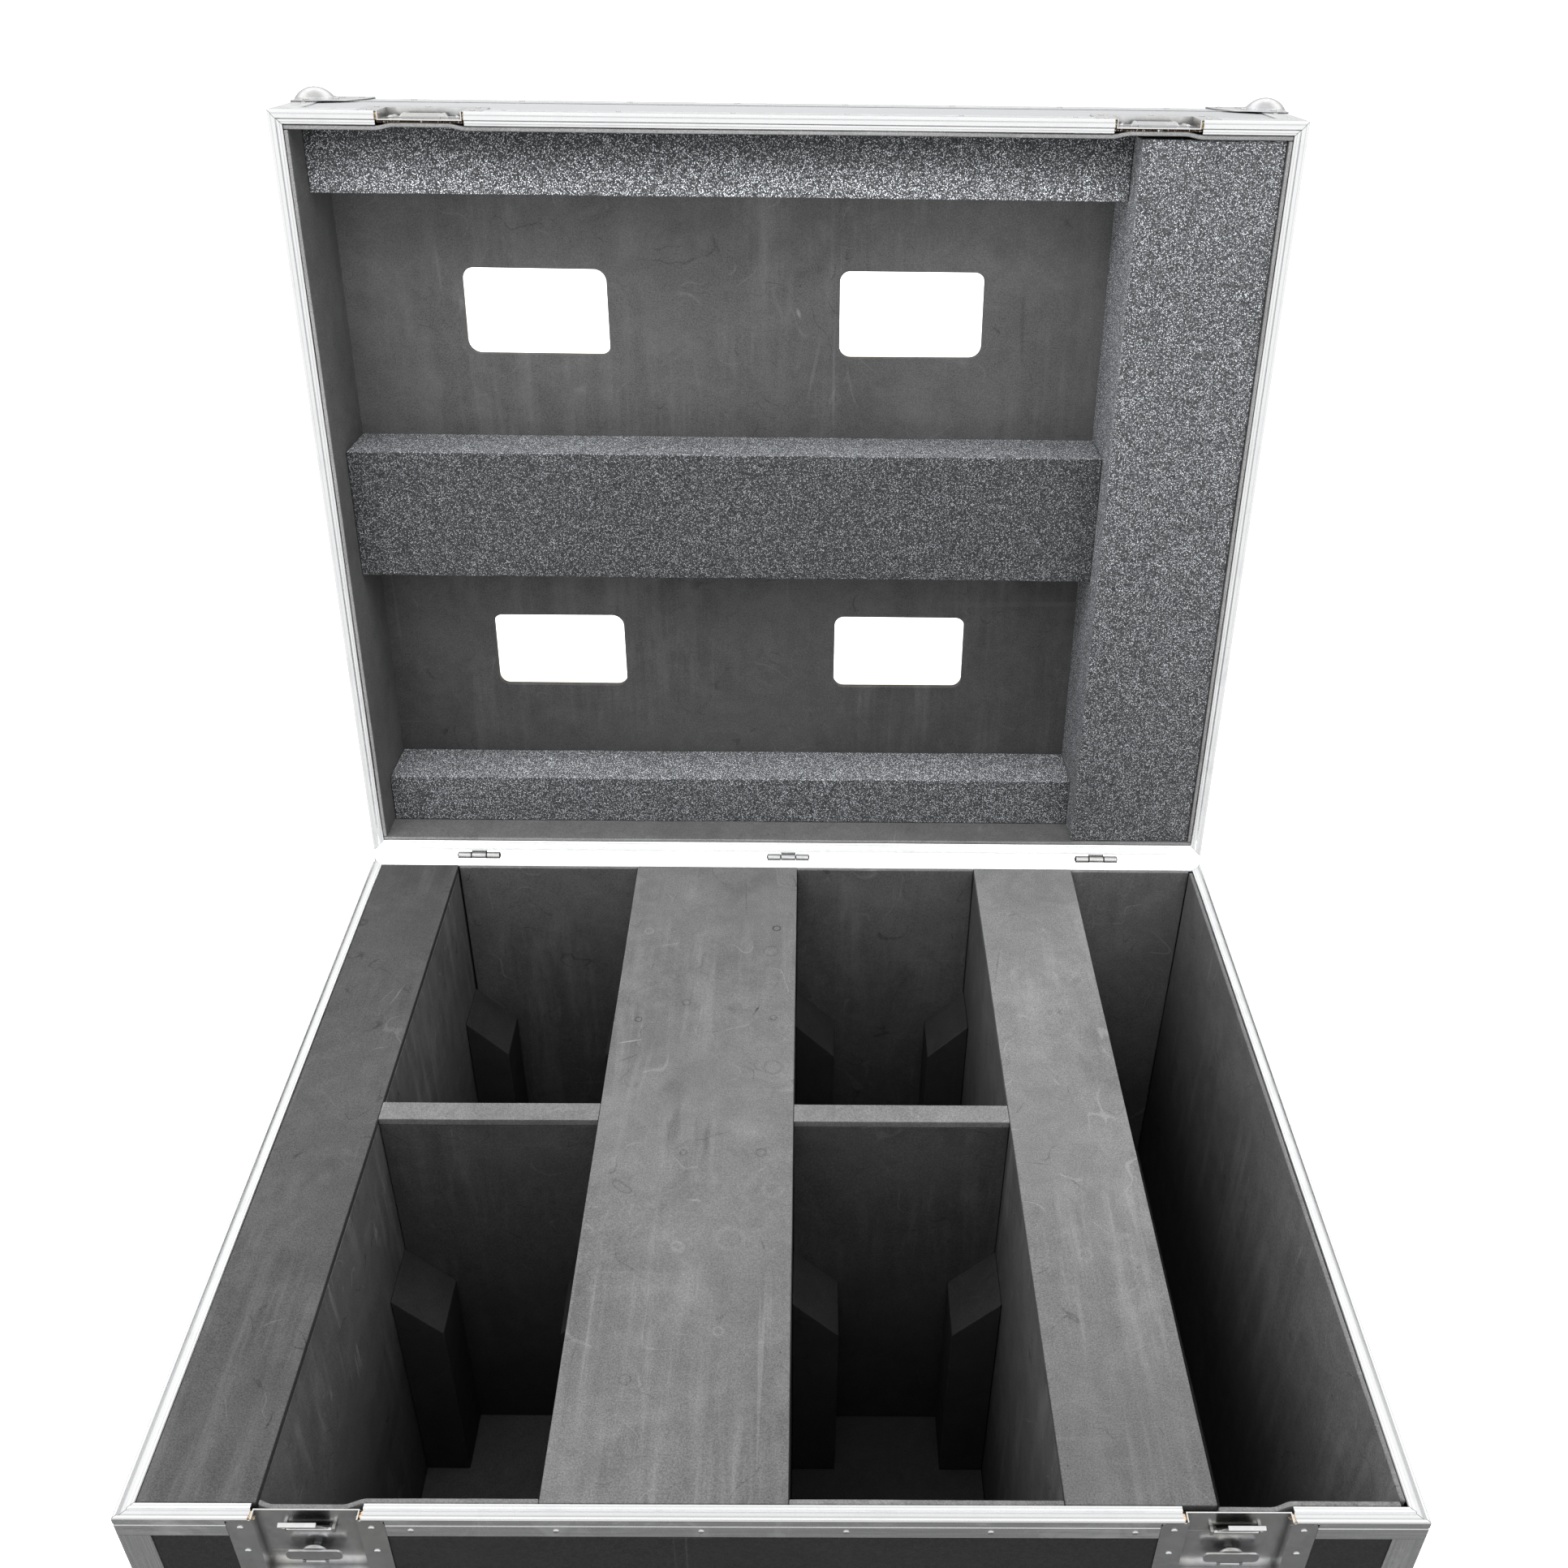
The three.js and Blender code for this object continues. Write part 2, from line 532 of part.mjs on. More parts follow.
const WING = {
  width: 52, height: 13.6, radius: 5, z: BOSS_Z + 2.4, front: -0.2, back: 1.5,
  half: 9, barrelZ: BOSS_Z - 7.4, barrelR: 1.1, barrelInset: 0.4,
};

// Dish open towards the parting plane, with a flange on the panel face.
function latchDish(x, { direction, reach, flange }) {
  const half = DISH_HALF_WIDTH;
  const outer = half + METAL_T;
  const openZ = PARTING_Z + direction * 0.5;
  const endZ = PARTING_Z + direction * reach;
  const outerZ = endZ + direction * METAL_T;
  const flangeNear = PARTING_Z + direction * 3;
  const flangeFar = endZ + direction * flange;
  const flangeOutline = roundRect(x, (flangeNear + flangeFar) / 2,
    2 * DISH_FLANGE_HALF, Math.abs(flangeFar - flangeNear), 6, 3);
  return join(
    frontBox(x - outer, x + outer, DISH_DEPTH, DISH_BACK, openZ, outerZ),
    ...mirrored(half, outer).map(([x0, x1]) =>
      frontBox(x + x0, x + x1, 0, DISH_BACK, openZ, outerZ)),
    frontBox(x - outer, x + outer, 0, DISH_BACK, endZ, outerZ),
    cut(prism(flangeOutline, 'xz', frontY(0), frontY(METAL_T)),
      frontBox(x - half, x + half, -1, 3, endZ, PARTING_Z - direction * 5)));
}

// Base dish with pivot lugs for the hook.
const baseDish = (x) => join(latchDish(x, BASE_DISH), ...mirrored(LUG.near, LUG.far).map(
  ([x0, x1]) => frontBox(x + x0, x + x1, LUG.front, DISH_ROOT,
    HOOK.pivotZ - LUG.halfZ, HOOK.pivotZ + LUG.halfZ)));

// Lid dish with the bar the hook closes over.
const keeper = (x) => join(latchDish(x, LID_DISH),
  frontBox(x - KEEPER.half, x + KEEPER.half, KEEPER.front, DISH_ROOT, KEEPER.z0, KEEPER.z1));

// Hook in its shut place: plate, lip at the top and pivot pin.
const hook = (x) => join(
  frontBox(x - HOOK.half, x + HOOK.half, HOOK.front, HOOK.back, HOOK.bottomZ, HOOK.topZ),
  frontBox(x - HOOK.half, x + HOOK.half, HOOK.front, HOOK.lipBack, HOOK.lipZ, HOOK.topZ),
  cylinder('x', HOOK.pinR, x - HOOK.pinHalf, x + HOOK.pinHalf,
    frontY(HOOK.pivotInset), HOOK.pivotZ, 12));

// Turning boss: disc, shaft to the dish floor and two ears for the wing.
const boss = (x) => join(
  cylinder('y', BOSS.discR, frontY(BOSS.discFront), frontY(BOSS.discBack), x, BOSS_Z, 24),
  cylinder('y', BOSS.shaftR, frontY(BOSS.shaftFront), frontY(DISH_DEPTH - GAP), x, BOSS_Z, 16),
  ...mirrored(EAR.near, EAR.far).map(([x0, x1]) =>
    frontBox(x + x0, x + x1, EAR.front, EAR.back, EAR.z0, EAR.z1)));

// Butterfly wing, folded flat; its barrel lies between the ears.
const wing = (x) => join(
  prism(roundRect(x, WING.z, WING.width, WING.height, WING.radius, 4),
    'xz', frontY(WING.front), frontY(WING.back)),
  frontBox(x - WING.half, x + WING.half, WING.front, WING.back, WING.barrelZ, BOSS_Z),
  cylinder('x', WING.barrelR, x - WING.half, x + WING.half,
    frontY(WING.barrelInset), WING.barrelZ, 12));

for (const [name, side] of SIDES) {
  const x = side * LATCH_X;
  const pivotY = frontY(HOOK.pivotInset);
  put(base, `latch_${name}_dish`, baseDish(x), MATERIALS.zinc);
  put(lid, `latch_${name}_keeper`, keeper(x), MATERIALS.zinc);
  const hookPivot = new THREE.Group();
  hookPivot.position.set(0, pivotY, HOOK.pivotZ);
  hookPivot.rotation.x = THREE.MathUtils.degToRad(HOOK.tilt);
  base.add(hookPivot);
  put(hookPivot, `latch_${name}_hook`, hook(x).translate([0, -pivotY, -HOOK.pivotZ]),
    MATERIALS.zinc);
  put(base, `latch_${name}_boss`, boss(x), MATERIALS.zinc);
  put(base, `latch_${name}_wing`, wing(x), MATERIALS.zinc);
}

// ---------------------------------------------------------------- castors
const CASTOR = { x: 500, y: 395, axleZ: -78, trail: 35 }; // trail is towards the front
const PLATE = { width: 104, depth: 86, radius: 8, thickness: 3 };
const SWIVEL = { radius: 24, z0: -10.2, z1: -4 };
const FORK = { near: 21, far: 24, halfY: 26, topZ: -10.5, crownT: 3, axleR: 5, axleHalf: 27 };
const WHEEL_PROFILE = [      // radius, distance along the axle
  [5.5, -19], [12, -19], [14, -16.5], [36, -14], [40, -17], [47, -17], [50, -13.5],
  [50, 13.5], [47, 17], [40, 17], [36, 14], [14, 16.5], [12, 19], [5.5, 19], [5.5, -19],
];

const castorPlate = (x, y) => join(
  prism(roundRect(x, y, PLATE.width, PLATE.depth, PLATE.radius, 3),
    'xy', BOTTOM_Z - PLATE.thickness, BOTTOM_Z),
  cylinder('z', SWIVEL.radius, SWIVEL.z0, SWIVEL.z1, x, y, 24));

function castorFork(x, y) {
  const { axleZ } = CASTOR;
  const axleY = y - CASTOR.trail;
  const cheek = [            // y, z
    [y - FORK.halfY, FORK.topZ], [y + FORK.halfY, FORK.topZ], [y + 14, -40],
    [axleY + 11, axleZ - 7], [axleY + 5, axleZ - 12],
    [axleY - 5, axleZ - 12], [axleY - 11, axleZ - 7], [axleY - 11, axleZ + 6],
  ];
  return join(
    ...mirrored(FORK.near, FORK.far).map(([x0, x1]) => prism(cheek, 'yz', x + x0, x + x1)),
    box(x - FORK.far, x + FORK.far, y - FORK.halfY, y + FORK.halfY,
      FORK.topZ - FORK.crownT, FORK.topZ),
    cylinder('x', FORK.axleR, x - FORK.axleHalf, x + FORK.axleHalf, axleY, axleZ, 16));
}

function castorWheel(x, y) {
  const segments = 24;
  const profile = WHEEL_PROFILE.map(([radius, along]) => new THREE.Vector2(radius, along));
  const geometry = new THREE.LatheGeometry(profile, segments);
  geometry.rotateY(Math.PI / segments);
  geometry.rotateZ(Math.PI / 2);
  geometry.translate(x, y - CASTOR.trail, CASTOR.axleZ);
  return solid(geometry);
}

for (const [endName, end] of ENDS) {
  for (const [sideName, side] of SIDES) {
    const at = [side * CASTOR.x, end * CASTOR.y];
    const name = `castor_${endName}_${sideName}`;
    put(base, `${name}_plate`, castorPlate(...at), MATERIALS.steel);
    put(base, `${name}_fork`, castorFork(...at), MATERIALS.steel);
    put(base, `${name}_wheel`, castorWheel(...at), MATERIALS.wheel);
  }
}

// ---------------------------------------------------------------- handles
const HANDLE_PIVOT_Z = HANDLE_Z + 31;
const HANDLE_FLANGE = 18;    // flange beyond the inside of the dish
const STRAP = { near: 60, far: HANDLE_HALF_WIDTH + 1, halfZ: 5 }; // over the pivot pins
const ARM = { near: 50, far: 56, outer: 2.4, inner: 7.2, z0: HANDLE_Z - 30 };
const PIVOT_PIN = { radius: 2.7, inset: 4.8, end: 67 };
const GRIP = { inset: 4.3, z: HANDLE_Z - 26, width: 7.6, height: 17, radius: 3.6, half: 57 };

function handleDish(side) {
  // Plate centred on the handle, its half sizes grown beyond the inside of the dish.
  const plate = (inset0, inset1, grow) => sideBox(side, inset0, inset1,
    -HANDLE_HALF_WIDTH - grow, HANDLE_HALF_WIDTH + grow,
    HANDLE_Z - HANDLE_HALF_HEIGHT - grow, HANDLE_Z + HANDLE_HALF_HEIGHT + grow);
  return join(
    cut(plate(0, DISH_BACK, METAL_T), plate(-OVERCUT, DISH_DEPTH, 0)),
    cut(plate(0, METAL_T, HANDLE_FLANGE), plate(-2, 3, 0)),
    ...mirrored(STRAP.near, STRAP.far).map(([y0, y1]) => sideBox(side, 0, METAL_T,
      y0, y1, HANDLE_PIVOT_Z - STRAP.halfZ, HANDLE_PIVOT_Z + STRAP.halfZ)));
}

function handleGrip(side) {
  const pins = mirrored(ARM.near, PIVOT_PIN.end).map(([y0, y1]) => cylinder('y',
    PIVOT_PIN.radius, y0, y1, sideX(side, PIVOT_PIN.inset), HANDLE_PIVOT_Z, 12));
  const arms = mirrored(ARM.near, ARM.far).map(([y0, y1]) =>
    sideBox(side, ARM.outer, ARM.inner, y0, y1, ARM.z0, HANDLE_PIVOT_Z + 2.4));
  const bar = roundRect(sideX(side, GRIP.inset), GRIP.z, GRIP.width, GRIP.height, GRIP.radius, 4);
  return join(...pins, ...arms, prism(bar, 'xz', -GRIP.half, GRIP.half));
}

for (const [name, side] of SIDES) {
  put(base, `handle_${name}_dish`, handleDish(side), MATERIALS.zinc);
  put(base, `handle_${name}_grip`, handleGrip(side), MATERIALS.rubber);
}

export default root;
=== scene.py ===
import bpy, bmesh, math, json, random
from mathutils import Vector, Matrix, noise


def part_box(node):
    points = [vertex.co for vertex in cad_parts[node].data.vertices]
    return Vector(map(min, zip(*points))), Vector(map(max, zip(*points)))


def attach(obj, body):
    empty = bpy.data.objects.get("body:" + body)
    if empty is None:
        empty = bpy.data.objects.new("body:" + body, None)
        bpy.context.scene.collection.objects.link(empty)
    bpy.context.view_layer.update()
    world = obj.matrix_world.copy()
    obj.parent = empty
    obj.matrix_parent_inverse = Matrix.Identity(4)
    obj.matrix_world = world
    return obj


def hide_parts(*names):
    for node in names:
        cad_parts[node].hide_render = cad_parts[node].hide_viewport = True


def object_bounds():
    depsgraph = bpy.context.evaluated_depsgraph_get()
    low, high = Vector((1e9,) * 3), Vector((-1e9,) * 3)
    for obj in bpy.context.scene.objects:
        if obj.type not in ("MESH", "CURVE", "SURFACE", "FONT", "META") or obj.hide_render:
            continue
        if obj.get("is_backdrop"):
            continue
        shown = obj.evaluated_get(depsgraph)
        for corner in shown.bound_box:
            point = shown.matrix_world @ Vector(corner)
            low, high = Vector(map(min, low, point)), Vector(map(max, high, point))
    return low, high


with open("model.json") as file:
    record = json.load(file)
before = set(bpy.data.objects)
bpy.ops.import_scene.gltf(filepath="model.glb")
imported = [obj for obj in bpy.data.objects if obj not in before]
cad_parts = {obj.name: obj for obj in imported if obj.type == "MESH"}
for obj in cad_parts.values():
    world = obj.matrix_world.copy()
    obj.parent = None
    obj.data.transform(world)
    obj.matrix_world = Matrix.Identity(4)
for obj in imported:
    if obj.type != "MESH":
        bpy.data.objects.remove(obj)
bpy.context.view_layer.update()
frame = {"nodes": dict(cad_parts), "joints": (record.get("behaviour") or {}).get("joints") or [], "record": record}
REC = frame["record"]
NODES = frame["nodes"]
RND = random.Random(7)

# ------------------------------------------------------------------ dimensions
_rl, _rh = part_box("base_rail_frame")
HB = _rh.z + 0.00015                       # parting plane
XO, YO = _rh.x, _rh.y                      # half width and half depth over the rails
LIDJ = [j for j in frame["joints"] if j["name"] == "lid_hinge"][0]
PIN = Vector(LIDJ["pos_m"])
OPEN = math.radians(LIDJ["range_deg"][1])
M_OPEN = Matrix.Translation(PIN) @ Matrix.Rotation(-OPEN, 4, "X") @ Matrix.Translation(-PIN)
M_SHUT = M_OPEN.inverted()


def shut_box(node):
    """Box of a lid node in its shut place."""
    ps = [M_SHUT @ v.co for v in NODES[node].data.vertices]
    return (Vector([min(p[k] for p in ps) for k in range(3)]), Vector([max(p[k] for p in ps) for k in range(3)]))


# ------------------------------------------------------------------ node helper
class Tree:
    def __init__(self, name):
        self.mat = bpy.data.materials.new(name)
        self.mat.use_nodes = True
        self.nt = self.mat.node_tree
        self.bsdf = self.nt.nodes["Principled BSDF"]
        self.coord = self.nt.nodes.new("ShaderNodeTexCoord")

    def node(self, kind, **kw):
        n = self.nt.nodes.new(kind)
        for k, v in kw.items():
            setattr(n, k, v)
        return n

    def put(self, sock, v):
        if isinstance(v, bpy.types.NodeSocket):
            self.nt.links.new(v, sock)
        elif v is not None:
            sock.default_value = v

    def math(self, op, a, b=None, c=None, clamp=False):
        n = self.node("ShaderNodeMath", operation=op, use_clamp=clamp)
        self.put(n.inputs[0], a)
        if b is not None:
            self.put(n.inputs[1], b)
        if c is not None:
            self.put(n.inputs[2], c)
        return n.outputs[0]

    def map(self, vec, loc=(0, 0, 0), rot=(0, 0, 0), scale=(1, 1, 1), kind="POINT"):
        n = self.node("ShaderNodeMapping", vector_type=kind)
        self.put(n.inputs["Vector"], vec)
        if kind in ("POINT", "TEXTURE"):
            n.inputs["Location"].default_value = loc
        n.inputs["Rotation"].default_value = rot
        n.inputs["Scale"].default_value = scale
        return n.outputs[0]

    def noise(self, vec, scale, detail=2.0, rough=0.5, dist=0.0):
        n = self.node("ShaderNodeTexNoise")
        self.put(n.inputs["Vector"], vec)
        n.inputs["Scale"].default_value = scale
        n.inputs["Detail"].default_value = detail
        n.inputs["Roughness"].default_value = rough
        n.inputs["Distortion"].default_value = dist
        return n.outputs["Fac"]

    def voronoi(self, vec, scale, out="Distance", feature="F1", rand=1.0):
        n = self.node("ShaderNodeTexVoronoi", feature=feature)
        self.put(n.inputs["Vector"], vec)
        n.inputs["Scale"].default_value = scale
        n.inputs["Randomness"].default_value = rand
        return n.outputs[out]

    def ramp(self, v, lo, hi, a=0.0, b=1.0):
        n = self.node("ShaderNodeMapRange", clamp=True, interpolation_type="SMOOTHSTEP")
        self.put(n.inputs["Value"], v)
        n.inputs["From Min"].default_value = lo
        n.inputs["From Max"].default_value = hi
        n.inputs["To Min"].default_value = a
        n.inputs["To Max"].default_value = b
        return n.outputs["Result"]

    def sep(self, vec):
        n = self.node("ShaderNodeSeparateXYZ")
        self.put(n.inputs[0], vec)
        return n.outputs

    def tint(self, rgb, v):
        n = self.node("ShaderNodeVectorMath", operation="SCALE")
        n.inputs[0].default_value = rgb
        self.put(n.inputs["Scale"], v)
        return n.outputs[0]

    def mix(self, fac, a, b):
        """Mix of two colours or vectors."""
        n = self.node("ShaderNodeMix", data_type="RGBA")
        self.put(n.inputs[0], fac)
        for s, v in ((n.inputs[6], a), (n.inputs[7], b)):
            if isinstance(v, tuple):
                v = (*v, 1.0)
            self.put(s, v)
        return n.outputs[2]

    def bump(self, height, dist, strength=1.0, normal=None):
        n = self.node("ShaderNodeBump")
        n.inputs["Strength"].default_value = strength
        n.inputs["Distance"].default_value = dist
        self.put(n.inputs["Height"], height)
        if normal is not None:
            self.put(n.inputs["Normal"], normal)
        return n.outputs[0]

    def done(self, color=None, rough=None, metal=None, normal=None, spec=None):
        b = self.bsdf.inputs
        if color is not None:
            self.put(b["Base Color"], (*color, 1.0) if isinstance(color, tuple) else color)
        if rough is not None:
            self.put(b["Roughness"], rough)
        if metal is not None:
            self.put(b["Metallic"], metal)
        if normal is not None:
            self.put(b["Normal"], normal)
        if spec is not None:
            self.put(b["Specular IOR Level"], spec)
        return self.mat


def place(t, lid):
    """Axis-aligned coordinates: a CAD node of the lid is turned back to its shut place."""
    if lid:
        off = M_SHUT.to_translation()
        return t.map(t.coord.outputs["Object"], loc=tuple(off), rot=(OPEN, 0, 0))
    return t.coord.outputs["Object"]


def facing(t, lid):
    if lid:
        return t.map(t.coord.outputs["Normal"], rot=(OPEN, 0, 0), kind="VECTOR")
    return t.coord.outputs["Normal"]


def scratch_layer(t, vec, rot, sc, lo, hi, seed, mask_scale=2.6):
    p = t.map(vec, loc=(seed, seed * 0.7, -seed), rot=rot, scale=sc)
    s = t.ramp(t.noise(p, 1.0, 2.0, 0.55, 0.25), lo, hi)
    m = t.ramp(t.noise(t.map(vec, loc=(seed * 1.3, 0, seed)), mask_scale, 2.0), 0.5, 0.66)
    return t.math("MULTIPLY", s, m)


# ------------------------------------------------------------------ wear marks
RIB_MARKS = (
    ('blob', (-0.1300, 0.0400, 0.5994), 0.02, 0.05, 0.12, -0.14),
    ('blob', (-0.0500, -0.0200, 0.5994), 0.03, 0.02, 0.6, 0.12),
    ('blob', (-0.1000, -0.2400, 0.5994), 0.05, 0.03, 0.2, 0.08),
    ('blob', (-0.1500, 0.2500, 0.5994), 0.03, 0.02, 0.9, -0.1),
    ('ring', (-0.0136, 0.3414, 0.5994), 0.005, 0.0019, -0.594),
    ('ring', (-0.0203, 0.294, 0.5994), 0.0098, 0.0029, -0.148),
    ('ring', (-0.1869, 0.3344, 0.5994), 0.0055, 0.0019, 0.33),
    ('ring', (-0.1848, 0.1607, 0.5994), 0.0041, 0.0019, -0.396),
    ('ring', (-0.0143, 0.1653, 0.5994), 0.0041, 0.0019, -0.396),
    ('ring', (-0.0134, 0.0779, 0.5994), 0.0109, 0.0033, -0.185),
    ('ring', (-0.0534, -0.1796, 0.5994), 0.0149, 0.0045, 0.111),
    ('ring', (-0.0262, -0.151, 0.5994), 0.0177, 0.0053, 0.066),
    ('ring', (-0.0093, -0.1113, 0.5994), 0.0109, 0.0033, 0.13),
    ('ring', (-0.1264, 0.1928, 0.5994), 0.0052, 0.0019, -0.264),
    ('ring', (-0.1128, -0.0587, 0.5994), 0.0037, 0.0019, -0.264),
    ('ring', (-0.0235, -0.0581, 0.5994), 0.0056, 0.0019, -0.264),
    ('ring', (-0.0606, -0.2954, 0.5994), 0.0049, 0.0019, 0.264),
    ('ring', (-0.1497, -0.3514, 0.5994), 0.0056, 0.0019, -0.238),
    ('blob', (-0.1291, -0.028, 0.5994), 0.0113, 0.0382, 0.1, -0.2),
    ('blob', (-0.0863, -0.0339, 0.5994), 0.0056, 0.0406, 0.05, -0.16),
    ('blob', (-0.1239, 0.0038, 0.5994), 0.0048, 0.0261, 0.1, -0.12),
    ('blob', (-0.0752, -0.1001, 0.5994), 0.0082, 0.0141, 0, 0.16),
    ('blob', (-0.0977, -0.2364, 0.5994), 0.0119, 0.0632, 0.05, 0.1),
    ('blob', (-0.1302, -0.1516, 0.5994), 0.0071, 0.0571, 0.05, -0.1),
    ('blob', (-0.0646, 0.1858, 0.5994), 0.0166, 0.0214, 0, -0.1),
    ('blob', (-0.1817, 0.0561, 0.5994), 0.0049, 0.0992, 0.12, 0.13),
    ('blob', (-0.1682, 0.0698, 0.5994), 0.0039, 0.0855, 0.12, 0.11),
    ('blob', (-0.1869, -0.0347, 0.5994), 0.0047, 0.0776, 0.12, 0.1),
    ('line', (-0.2108, 0.1169, 0.5994), (-0.1723, 0.1258, 0.5994), 0.0016, 0.8),
    ('line', (-0.1741, 0.1016, 0.5994), (-0.2118, 0.0804, 0.5994), 0.0018, -0.25),
    ('line', (-0.0431, 0.165, 0.5994), (-0.0304, 0.1892, 0.5994), 0.0014, -0.35),
    ('line', (-0.1053, -0.1268, 0.5994), (-0.0845, -0.1289, 0.5994), 0.0016, 0.4),
    ('line', (-0.0229, -0.1729, 0.5994), (-0.0143, -0.1996, 0.5994), 0.0016, -0.3),
    ('line', (-0.1718, 0.4214, 0.5994), (-0.1565, 0.3998, 0.5994), 0.0016, 0.25),
    ('line', (-0.2068, -0.3426, 0.5994), (-0.2019, -0.3056, 0.5994), 0.0016, -0.2),
    ('line', (-0.0601, 0.4687, 0.5994), (-0.0546, 0.3436, 0.5994), 0.0012, -0.22),
    ('line', (0.0063, 0.4637, 0.5994), (0.0147, 0.4267, 0.5994), 0.0014, -0.35),
    ('line', (0.0039, 0.3782, 0.5994), (0.0113, 0.3616, 0.5994), 0.0013, -0.2),
    ('line', (-0.18, 0.2389, 0.5994), (-0.1734, 0.2793, 0.5994), 0.002, -0.14),
    ('line', (-0.0396, 0.175, 0.5994), (-0.0319, 0.1881, 0.5994), 0.002, -0.5),
    ('line', (-0.1418, 0.3133, 0.5994), (-0.1294, 0.3185, 0.5994), 0.0016, -0.14),
    ('blob', (-0.0944, 0.3544, 0.5994), 0.03, 0.02, 0.4, -0.09),
    ('blob', (-0.132, 0.4156, 0.5994), 0.02, 0.03, 0.2, 0.09),
    ('blob', (-0.03, 0.2821, 0.5994), 0.012, 0.02, 0.4, 0.1),
    ('line', (-0.2253, 0.2767, 0.5994), (-0.2188, 0.1852, 0.5994), 0.0016, 0.3),
    ('line', (-0.204, 0.0427, 0.5994), (-0.1813, 0.0825, 0.5994), 0.0018, -0.16),
    ('line', (-0.1011, -0.1278, 0.5994), (-0.0878, -0.1255, 0.5994), 0.0014, 0.3),
)
LEFT_MARKS = (
    ('line', (-0.4914, 0.2325, 0.5994), (-0.5077, 0.1737, 0.5994), 0.0013, 0.75),
    ('line', (-0.5034, 0.2193, 0.5994), (-0.5229, 0.1814, 0.5994), 0.0012, 0.45),
    ('line', (-0.5115, 0.1041, 0.5994), (-0.4852, 0.1107, 0.5994), 0.0014, 0.5),
    ('blob', (-0.5072, -0.0779, 0.5994), 0.016, 0.012, 0.5, -0.16),
    ('blob', (-0.5118, -0.1008, 0.5994), 0.014, 0.01, 0.5, 0.16),
    ('blob', (-0.4976, -0.0599, 0.5994), 0.012, 0.008, 0.7, 0.18),
    ('blob', (-0.5438, -0.1123, 0.5994), 0.012, 0.03, 0.1, 0.14),
    ('blob', (-0.5444, -0.1702, 0.5994), 0.018, 0.02, 0.3, -0.1),
    ('blob', (-0.5034, 0.0577, 0.5994), 0.01, 0.04, -0.2, 0.12),
    ('blob', (-0.5519, -0.2382, 0.5994), 0.01, 0.04, -0.2, -0.1),
)
RIGHT_MARKS = (
    ('ring', (0.3278, -0.1984, 0.5994), 0.0075, 0.0022, 0.14),
    ('blob', (0.375, -0.1736, 0.5994), 0.008, 0.006, 0.2, 0.22),
    ('ring', (0.3605, -0.1891, 0.5994), 0.014, 0.003, 0.07),
    ('line', (0.2807, -0.0697, 0.5994), (0.3116, -0.0764, 0.5994), 0.0016, -0.22),
    ('line', (0.3116, -0.0764, 0.5994), (0.3474, -0.1196, 0.5994), 0.0016, -0.22),
    ('line', (0.2976, -0.0934, 0.5994), (0.3336, -0.1383, 0.5994), 0.0014, -0.12),
    ('blob', (0.3017, 0.172, 0.5994), 0.008, 0.004, 0.2, 0.25),
    ('blob', (0.2991, 0.2493, 0.5994), 0.006, 0.02, 0.1, 0.16),
    ('ring', (0.3721, 0.2409, 0.5994), 0.018, 0.004, 0.07),
    ('line', (0.3649, 0.2273, 0.5994), (0.3908, 0.264, 0.5994), 0.0016, 0.2),
    ('blob', (0.2993, -0.3506, 0.5994), 0.02, 0.03, 0.3, 0.08),
    ('blob', (0.3313, -0.3375, 0.5994), 0.014, 0.04, 0.2, 0.07),
    ('line', (0.4093, -0.0926, 0.5994), (0.4134, -0.1577, 0.5994), 0.0012, -0.1),
    ('blob', (0.4147, 0.0134, 0.5994), 0.006, 0.03, -0.2, -0.1),
    ('line', (0.2911, 0.3197, 0.5994), (0.2711, 0.2208, 0.5994), 0.0018, -0.22),
)
LID_MARKS = (
    ('blob', (0.0103, -0.2439, 0.74), 0.0032, 0.0093, 0.3, 0.9),
    ('blob', (0.0311, -0.1712, 0.74), 0.0033, 0.0635, -0.2, 0.25),
    ('blob', (-0.0173, -0.255, 0.74), 0.0043, 0.0206, 0.4, 0.18),
    ('blob', (0.0554, -0.1336, 0.74), 0.0033, 0.0174, -0.3, 0.3),
    ('blob', (-0.4539, -0.2964, 0.74), 0.0031, 0.0401, 0.05, 0.25),
    ('blob', (-0.5015, -0.2448, 0.74), 0.0148, 0.0613, 0.1, 0.12),
    ('blob', (-0.2123, -0.329, 0.74), 0.0208, 0.0297, 0, 0.1),
    ('blob', (-0.1648, -0.2065, 0.74), 0.0641, 0.0418, 0, 0.07),
    ('blob', (0.3041, -0.2323, 0.74), 0.0043, 0.0619, 0.05, -0.15),
    ('blob', (0.3395, -0.1904, 0.74), 0.0043, 0.0631, 0.05, 0.12),
    ('blob', (-0.4669, 0.0419, 0.74), 0.0338, 0.0141, 0, 0.1),
    ('blob', (-0.3288, 0.3423, 0.74), 0.0602, 0.0187, 0, 0.12),
    ('blob', (-0.0877, 0.3268, 0.74), 0.048, 0.016, 0, 0.12),
    ('blob', (-0.1234, -0.1535, 0.74), 0.0043, 0.0322, 0.2, 0.14),
)
# ------------------------------------------------------------------ materials
def mark_ring(t, v, c, r, w, amp):
    """Round dent: dark rim with a paler middle."""
    n = t.node("ShaderNodeVectorMath", operation="DISTANCE")
    t.put(n.inputs[0], v)
    n.inputs[1].default_value = c
    d = n.outputs["Value"]
    rim = t.ramp(t.math("ABSOLUTE", t.math("SUBTRACT", d, r)), 0.0, w, amp, 0.0)
    return t.math("ADD", rim, t.ramp(d, 0.0, r, -amp * 0.15, 0.0))


